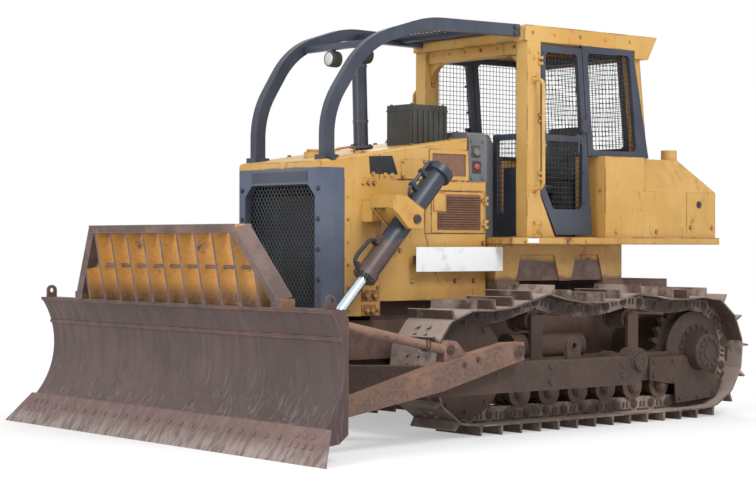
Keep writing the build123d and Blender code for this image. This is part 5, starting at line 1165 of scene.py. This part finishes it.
class FitLamps(bpy.types.Operator):
    """Add the work lamps' lenses, bezels and rear ribs"""

    bl_idname = "dozer.fit_lamps"
    bl_label = "Work lamps"

    def execute(self, context):
        s = sizes()
        for name, y, glass in (("clear", -0.090, "clear_lamp"), ("amber", 0.300, "amber_lamp")):
            face = at(2.995, y, 2.923)
            lens = Shape()
            lens.dome(face, AHEAD, 0.054, 0.014)
            lens.make(f"{name}_lens", glass, "chassis", "lamp_housing")
            rim = Shape()
            rim.ring(face, AHEAD, 0.056, 0.006)
            for along in (-0.030, -0.052, -0.074):
                rim.ring(face + Vector((along, 0, 0)), AHEAD, 0.0625, 0.004)
            rim.dome(face - Vector((0.090, 0, 0)), (-1, 0, 0), 0.050, 0.022)
            for out in (1, -1):
                rim.bolt(at(2.950, y + out * 0.014, 2.978), (0, out, 0), s.bolt * 0.6)
            rim.make(f"{name}_bezel", "black", "chassis", "lamp_housing")
        return {"FINISHED"}


class DressSweeps(bpy.types.Operator):
    """Add the limb guards' pins, end bolts and the mesh under the roof's front"""

    bl_idname = "dozer.dress_sweeps"
    bl_label = "Limb guards' fittings"

    def execute(self, context):
        s = sizes()
        pins = Shape()
        for y, out in ((0.382, -1), (0.502, 1)):
            pins.disc(at(3.435, y, 2.092), (0, out, 0), 0.040, 0.012, 20)
            pins.disc(at(3.435, y + out * 0.012, 2.092), (0, out, 0), 0.024, 0.012, 14)
        for x in (3.390, 3.480):
            pins.bolt(at(x, 0.502, 2.112), LEFT, s.bolt * 0.6)
        for z in (3.165, 3.215):
            pins.bolt(at(1.640, 0.634, z), LEFT, s.bolt)
        pins.mirrored().make("sweep_pins", "guard", "chassis", "guard_paint")
        screen = Shape()
        pane = [(1.600, -0.555), (2.330, -0.495), (2.330, 0.495), (1.600, 0.555)]
        for way, lift in (((0, 1), 0.003), ((1, 0), -0.003)):
            for start, end in strands(pane, way, 0.050):
                screen.pipe([at(*p, ROOF_SCREEN_HEIGHT + lift) for p in (start, end)], 0.003, 6)
        for a, b in zip(pane, pane[1:] + pane[:1]):
            screen.beam(at(*a, ROOF_SCREEN_HEIGHT), at(*b, ROOF_SCREEN_HEIGHT), 0.018, 0.018, UP)
        screen.make("roof_screen", "wire", "chassis", "guard_paint")
        return {"FINISHED"}


class DressCab(bpy.types.Operator):
    """Add the cab's bolts, feet, handles, rain strips and blank plates"""

    bl_idname = "dozer.dress_cab"
    bl_label = "Cab fittings"

    def execute(self, context):
        s = sizes()
        for side, sign in SIDES:
            door = Shape()
            for z in (2.392, 2.468):
                door.bolt(at(0.945, sign * 0.720, z), (0, sign, 0), s.bolt * 0.6)
            handle = ((0.690, 2.36), (0.745, 2.36), (0.745, 2.20), (0.690, 2.20))
            door.pipe(bend([at(1.02, sign * y, z) for y, z in handle], 0.02), 0.008)
            for x, z in ((1.375, 2.36), (1.375, 2.70), (1.375, 3.02), (0.955, 2.62), (0.975, 2.85),
                         (0.94, 2.315), (1.20, 2.325), (1.375, 2.05), (0.905, 2.05), (0.895, 1.80)):
                door.bolt(at(x, sign * 0.690, z), (0, sign, 0), s.bolt * 0.55)
            door.make(f"door_fittings_{side}", "guard", f"cab_door_{side}", "guard_paint")
        post = Shape()
        post.block(at(1.405, 0.690, 1.512), at(1.495, 0.706, 1.640))
        post.disc(at(1.448, 0.706, 1.576), LEFT, 0.034, 0.010, 18)
        post.bolt(at(1.448, 0.716, 1.576), LEFT, s.bolt * 1.1)
        for z in (1.535, 1.618):
            for x in (1.420, 1.480):
                post.bolt(at(x, 0.706, z), LEFT, s.bolt * 0.5)
        for x, z in ((1.435, 3.02), (1.535, 3.02), (1.485, 2.97)):
            post.bolt(at(x, 0.690, z), LEFT, s.bolt * 0.8)
        for z in (1.900, 2.790):
            post.block(at(1.460, 0.690, z - 0.030), at(1.510, 0.698, z + 0.030))
            for dz in (-0.020, 0.020):
                post.bolt(at(1.485, 0.698, z + dz), LEFT, s.bolt * 0.4)
        for x in (0.35, 0.65, 0.95, 1.25, 1.50):
            post.bolt(seat_on("roof", at(x, 1.5, 3.175), (0, -1, 0)), LEFT, s.bolt * 0.7)
        post.mirrored().make("cab_bolts", "yellow")
        front = Shape()
        for y in (-0.50, -0.30, -0.10, 0.10, 0.30, 0.50):
            front.bolt(seat_on("cab_header", at(2.2, y, 3.07), (-1, 0, 0)), AHEAD, s.bolt * 0.8)
        front.make("header_bolts", "yellow")
        top = Shape()
        for y in (-0.30, 0.30):
            low = seat_on("roof", at(0.55, y, 4.0), (0, 0, -1))
            high = seat_on("roof", at(1.40, y, 4.0), (0, 0, -1))
            top.beam(low, high, 0.030, 0.002)
        for x in (0.50, 1.45):
            for y in (-0.45, 0.45):
                spot = seat_on("roof", at(x, y, 4.0), (0, 0, -1))
                if spot.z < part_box("roof")[1][2] - 0.012:
                    top.ring(spot, UP, 0.018, 0.004)
        top.make("roof_strips", "yellow")
        return {"FINISHED"}


class FitSeat(bpy.types.Operator):
    """Replace the plain cushions by upholstered ones and add boots and knobs to the levers"""

    bl_idname = "dozer.fit_seat"
    bl_label = "Seat and levers"

    def execute(self, context):
        low, high = BOX["seat_cushion"]
        middle = (low + high) / 2
        half = (high - low) / 2
        cushion = Shape()
        cushion.pad(lambda u, v, w: middle + Vector((u * half.x, v * half.y, w * half.z)))
        piece = cushion.make("seat_cushion_pad", "seat", "chassis", "seat_vinyl")
        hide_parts("seat_cushion")
        low, high = BOX["seat_back"]
        foot = Vector(((low.x + high.x) / 2 + 0.030, 0, low.z))
        head = Vector((low.x + 0.055, 0, high.z))
        up = head - foot
        out = Vector((up.z, 0, -up.x)).normalized()
        back = Shape()
        back.pad(lambda u, v, w: (foot + up * (0.5 + 0.49 * v) + Vector((0, u * high.y, 0))
                                  + out * (0.052 * w)))
        piece = back.make("seat_back_pad", "seat", "chassis", "seat_vinyl")
        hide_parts("seat_back")
        boots = Shape()
        for i in range(3):
            x = 0.640 + 0.080 * i
            for k in range(5):
                boots.ring(at(x, 0.320, 1.976 + 0.012 * k), UP, 0.030 - 0.004 * k, 0.006)
            boots.dome(at(x, 0.320, 2.230), UP, 0.024, 0.012)
        boots.make("lever_boots", "rubber", "chassis", "console_plastic")
        return {"FINISHED"}


class DressTank(bpy.types.Operator):
    """Add the tank's lock, filler and bolts and the deck's skirts, plate and treads"""

    bl_idname = "dozer.dress_tank"
    bl_label = "Tank and deck fittings"

    def execute(self, context):
        s = sizes()
        side = Shape()
        for x, z in ((-0.62, 1.60), (-0.34, 1.60), (0.10, 1.56), (0.60, 1.56), (1.00, 1.48), (1.70, 1.48)):
            node = "fuel_tank" if x < -0.29 else "fender_left" if x < 0.73 else "deck"
            side.bolt(seat_on(node, at(x, 1.6, z), (0, -1, 0)), LEFT, s.bolt)
        side.mirrored().make("tank_bolts", "yellow")
        # A plate behind the deck supports that closes the see-through gap under the deck, yellow above and
        # dark brown below 1.34 m: flaked paint and painted shade.
        skirt = Shape()
        low, high = BOX["deck_supports"]
        skirt.block((low.x + 0.03, high.y - 0.018, low.z + 0.004),
                    (high.x - 0.03, high.y - 0.013, high.z - 0.03))
        skirt.mirrored().make("deck_skirts", "skirt")
        lock = Shape()
        spot = seat_on("fuel_tank", at(-0.45, 1.6, 1.80), (0, -1, 0))
        lock.disc(spot, LEFT, 0.030, 0.008, 20)
        lock.disc(spot + Vector((0, 0.008, 0)), LEFT, 0.014, 0.006, 14)
        lock.make("tank_lock", "black")
        cap = Shape()
        spot = seat_on("fuel_tank", at(-0.595, 0.500, 4.0), (0, 0, -1))
        for x, y in ring_of(12, 0.068):
            cap.disc(spot + Vector((x, y, -0.050)), UP, 0.009, 0.040, 8)
        cap.ring(spot + Vector((0, 0, 0.002)), UP, 0.050, 0.006)
        cap.beam(spot + Vector((-0.045, 0, 0.004)), spot + Vector((0.045, 0, 0.004)), 0.022, 0.020)
        cap.make("filler_cap_grip", "tired_yellow")
        rear = Shape()
        for y in (-0.70, -0.35, 0, 0.35, 0.70):
            for z in (1.55, 1.78):
                rear.bolt(seat_on("fuel_tank", at(-2.0, y, z), AHEAD), (-1, 0, 0), s.bolt)
        rear.make("tank_rear_bolts", "yellow")
        plate = Shape()
        spot = seat_on("deck", at(1.62, 1.6, 1.48), (0, -1, 0))
        plate.block(spot + Vector((-0.07, 0, -0.018)), spot + Vector((0.07, 0.003, 0.018)))
        plate.make("blank_deck_plate", "sign")
        tread = Shape()
        for i in range(9):
            for y in (0.720, 0.760, 0.800):
                x = 0.80 + 0.12 * i
                start, end = at(x, y - 0.012, 1.510), at(x + 0.04, y + 0.012, 1.510)
                tread.beam(start, end, 0.006, 0.005, (-0.3, 1, 0))
        tread.mirrored().make("deck_treads", "tired_yellow")
        return {"FINISHED"}


class DressBlade(bpy.types.Operator):
    """Add the blade's plow bolts, weld beads and the braces' fastenings"""

    bl_idname = "dozer.dress_blade"
    bl_label = "Blade, rack and braces"

    knee = (4.600, 0.230)
    tip = (4.765, 0.0)

    def face(self, y, share):
        """A point on the edges' front, a share of the way from the knee to the tip."""
        run = Vector(self.tip) - Vector(self.knee)
        out = Vector((-run.y, run.x)).normalized()
        point = Vector(self.knee) + run * share
        return at(point.x, y, point.y), Vector((out.x, 0, out.y))

    def execute(self, context):
        s = sizes()
        bolts = Shape()
        for i in range(21):
            self.plow_bolt(bolts, -1.50 + 0.15 * i, 0.36)
        for sign in (-1, 1):
            for y, share in ((1.67, 0.24), (1.76, 0.24), (1.85, 0.24),
                             (1.64, 0.52), (1.72, 0.52), (1.80, 0.52), (1.88, 0.52)):
                self.plow_bolt(bolts, sign * y, share)
        bolts.make("plow_bolts", "edge", "blade", "edge_steel")
        beads = Shape()
        for y in (-1.56, -1.18, -0.80, -0.40, 0.40, 0.80, 1.18, 1.56):
            for side in (-0.013, 0.013):
                beads.bead([at(4.401, y + side, z / 100) for z in range(20, 96, 4)], 0.006)
        for z in (0.330, 0.560, 0.803, 0.988):
            beads.bead([at(4.402, y / 100, z - 0.002) for y in range(-188, 189, 8)], 0.006)
        for i in range(9):
            y = 0.226 * (i - 4)
            for side in (-0.0135, 0.0135):
                beads.bead([at(4.440 + 0.020 * k, y + side, 1.014) for k in range(6)], 0.006)
        beads.make("blade_welds", "blade", "blade", "blade_steel")
        braces = Shape()
        braces.disc(at(3.200, 1.590, 0.690), LEFT, 0.036, 0.014, 20)
        braces.bolt(at(3.200, 1.604, 0.690), LEFT, s.bolt)
        for x, z in ((2.95, 0.615), (3.08, 0.580)):
            braces.bolt(at(x, 1.610, z), LEFT, s.bolt)
        braces.disc(at(2.550, 1.634, 0.660), LEFT, 0.046, 0.006, 20)
        braces.bolt(at(2.550, 1.640, 0.660), LEFT, s.bolt)
        for x, z in ((3.40, 0.7256), (3.43, 0.7319), (4.20, 0.8944)):
            braces.ring(at(x, 1.561, z), (1.185, 0, 0.25), 0.037, 0.008)
        for x, y, z in ((2.10, 1.500, 0.52), (2.10, 1.500, 0.40), (1.30, 1.500, 0.50), (1.30, 1.500, 0.42)):
            braces.bolt(at(x, y, z), LEFT, s.bolt)
        braces.mirrored().make("brace_bolts", "frame_iron", "blade", "yellow_paint")
        cap = Shape()
        cap.ring(at(TRUNNION[0], 1.502, TRUNNION[1]), LEFT, 0.074, 0.010)
        cap.ring(at(1.799, 1.456, 0.666), LEFT, 0.034, 0.006)
        cap.mirrored().make("arm_rings", "frame_iron", "blade", "yellow_paint")
        return {"FINISHED"}

    def plow_bolt(self, shape, y, share):
        place, out = self.face(y, share)
        shape.ring(place, out, 0.021, 0.003)
        shape.disc(place, out, 0.016, 0.005, 14)


class SetStage(bpy.types.Operator):
    """Add the floor, the lamps, the world and the camera"""

    bl_idname = "dozer.set_stage"
    bl_label = "Set the stage"

    def execute(self, context):
        self.floor()
        self.world()
        self.lamps()
        self.camera()
        return {"FINISHED"}

    def floor(self):
        c = colours()
        mesh = bpy.data.meshes.new("floor")
        corners = [(FLOOR_REACH * x, FLOOR_REACH * y, 0) for x, y in ((-1, -1), (1, -1), (1, 1), (-1, 1))]
        mesh.from_pydata(corners, [], [(0, 1, 2, 3)])
        floor = bpy.data.objects.new("floor", mesh)
        bpy.context.scene.collection.objects.link(floor)
        g = Graph(bpy.data.materials.new("studio_floor"))
        lit = g.node("ShaderNodeBsdfDiffuse", {}, {"Color": (*c.floor, 1)})
        shown = g.node("ShaderNodeEmission", {}, {"Color": (1, 1, 1, 1), "Strength": 1.0})
        ray = g.node("ShaderNodeLightPath", {}, {}, "Is Camera Ray")
        gloss = g.node("ShaderNodeLightPath", {}, {}, "Is Glossy Ray")
        through = g.node("ShaderNodeLightPath", {}, {}, "Is Transmission Ray")
        far = g.node("ShaderNodeVectorMath", {"operation": "LENGTH"}, {0: g.place}, "Value").above(3.0, 7.5)
        share = (ray * (0.42 + far * 0.58) + gloss * 0.9 + through * 0.45).clamp()
        mixed = g.node("ShaderNodeMixShader", {}, {0: share, 1: lit, 2: shown})
        g.node("ShaderNodeOutputMaterial", {}, {"Surface": mixed})
        mesh.materials.append(g.owner)

    def world(self):
        world = bpy.data.worlds.new("studio")
        bpy.context.scene.world = world
        g = Graph(world)
        plain = g.node("ShaderNodeBackground", {}, {"Color": (1, 1, 1, 1), "Strength": SKY_LIGHT})
        white = g.node("ShaderNodeBackground", {}, {"Color": (1, 1, 1, 1), "Strength": 1.0})
        clear = 0
        for ray in ("Is Camera Ray", "Is Glossy Ray", "Is Transmission Ray"):
            clear = g.node("ShaderNodeLightPath", {}, {}, ray).most(clear)
        mixed = g.node("ShaderNodeMixShader", {}, {0: clear, 1: plain, 2: white})
        g.node("ShaderNodeOutputWorld", {}, {"Surface": mixed})

    def lamps(self):
        for name, place, aim, size, watts in LAMPS:
            data = bpy.data.lights.new(name, "AREA")
            data.size = size
            data.energy = watts
            lamp = bpy.data.objects.new(name, data)
            bpy.context.scene.collection.objects.link(lamp)
            lamp.location = place
            lamp.rotation_euler = (Vector(aim) - Vector(place)).to_track_quat("-Z", "Y").to_euler()

    def camera(self):
        data = bpy.data.cameras.new("camera")
        data.lens = LENS
        data.sensor_width = 36
        data.shift_x, data.shift_y = LENS_SHIFT
        data.clip_end = 200
        camera = bpy.data.objects.new("camera", data)
        bpy.context.scene.collection.objects.link(camera)
        camera.location = CAMERA_PLACE
        yaw, pitch, roll = (math.radians(turn) for turn in CAMERA_TURNS)
        look = Vector((math.cos(yaw) * math.cos(pitch), math.sin(yaw) * math.cos(pitch), math.sin(pitch)))
        camera.rotation_euler = look.to_track_quat("-Z", "Y").to_euler()
        camera.rotation_euler.rotate_axis("Z", roll)
        bpy.context.scene.camera = camera
        bpy.context.scene.view_settings.view_transform = "Standard"


class DozerPanel(bpy.types.Panel):
    """Lists the machine's pieces and their settings"""

    bl_idname = "VIEW3D_PT_dozer"
    bl_label = "Bulldozer"
    bl_space_type = "VIEW_3D"
    bl_region_type = "UI"
    bl_category = "Bulldozer"

    def draw(self, context):
        layout = self.layout
        for step in STEPS:
            layout.operator(step.bl_idname)
        for group in (context.scene.dozer_colours, context.scene.dozer_sizes):
            box = layout.box()
            for name in group.__annotations__:
                box.prop(group, name)


STEPS = (SetStage, PaintFrame, DressTracks, DressUndercarriage, FitWindowMesh, FitGrille, DressNose,
         DressHoodTop, DressCowl, PlumbCylinders, FitLamps, DressSweeps, DressCab, FitSeat, DressTank,
         DressBlade)
CLASSES = (DozerColours, DozerSizes, *STEPS, DozerPanel)


def register():
    for cls in CLASSES:
        bpy.utils.register_class(cls)
    bpy.types.Scene.dozer_colours = PointerProperty(type=DozerColours)
    bpy.types.Scene.dozer_sizes = PointerProperty(type=DozerSizes)


def unregister():
    del bpy.types.Scene.dozer_sizes
    del bpy.types.Scene.dozer_colours
    for cls in reversed(CLASSES):
        bpy.utils.unregister_class(cls)


def main():
    register()
    for step in STEPS:
        group, call = step.bl_idname.split(".")
        getattr(getattr(bpy.ops, group), call)()


if __name__ == "__main__":
    main()
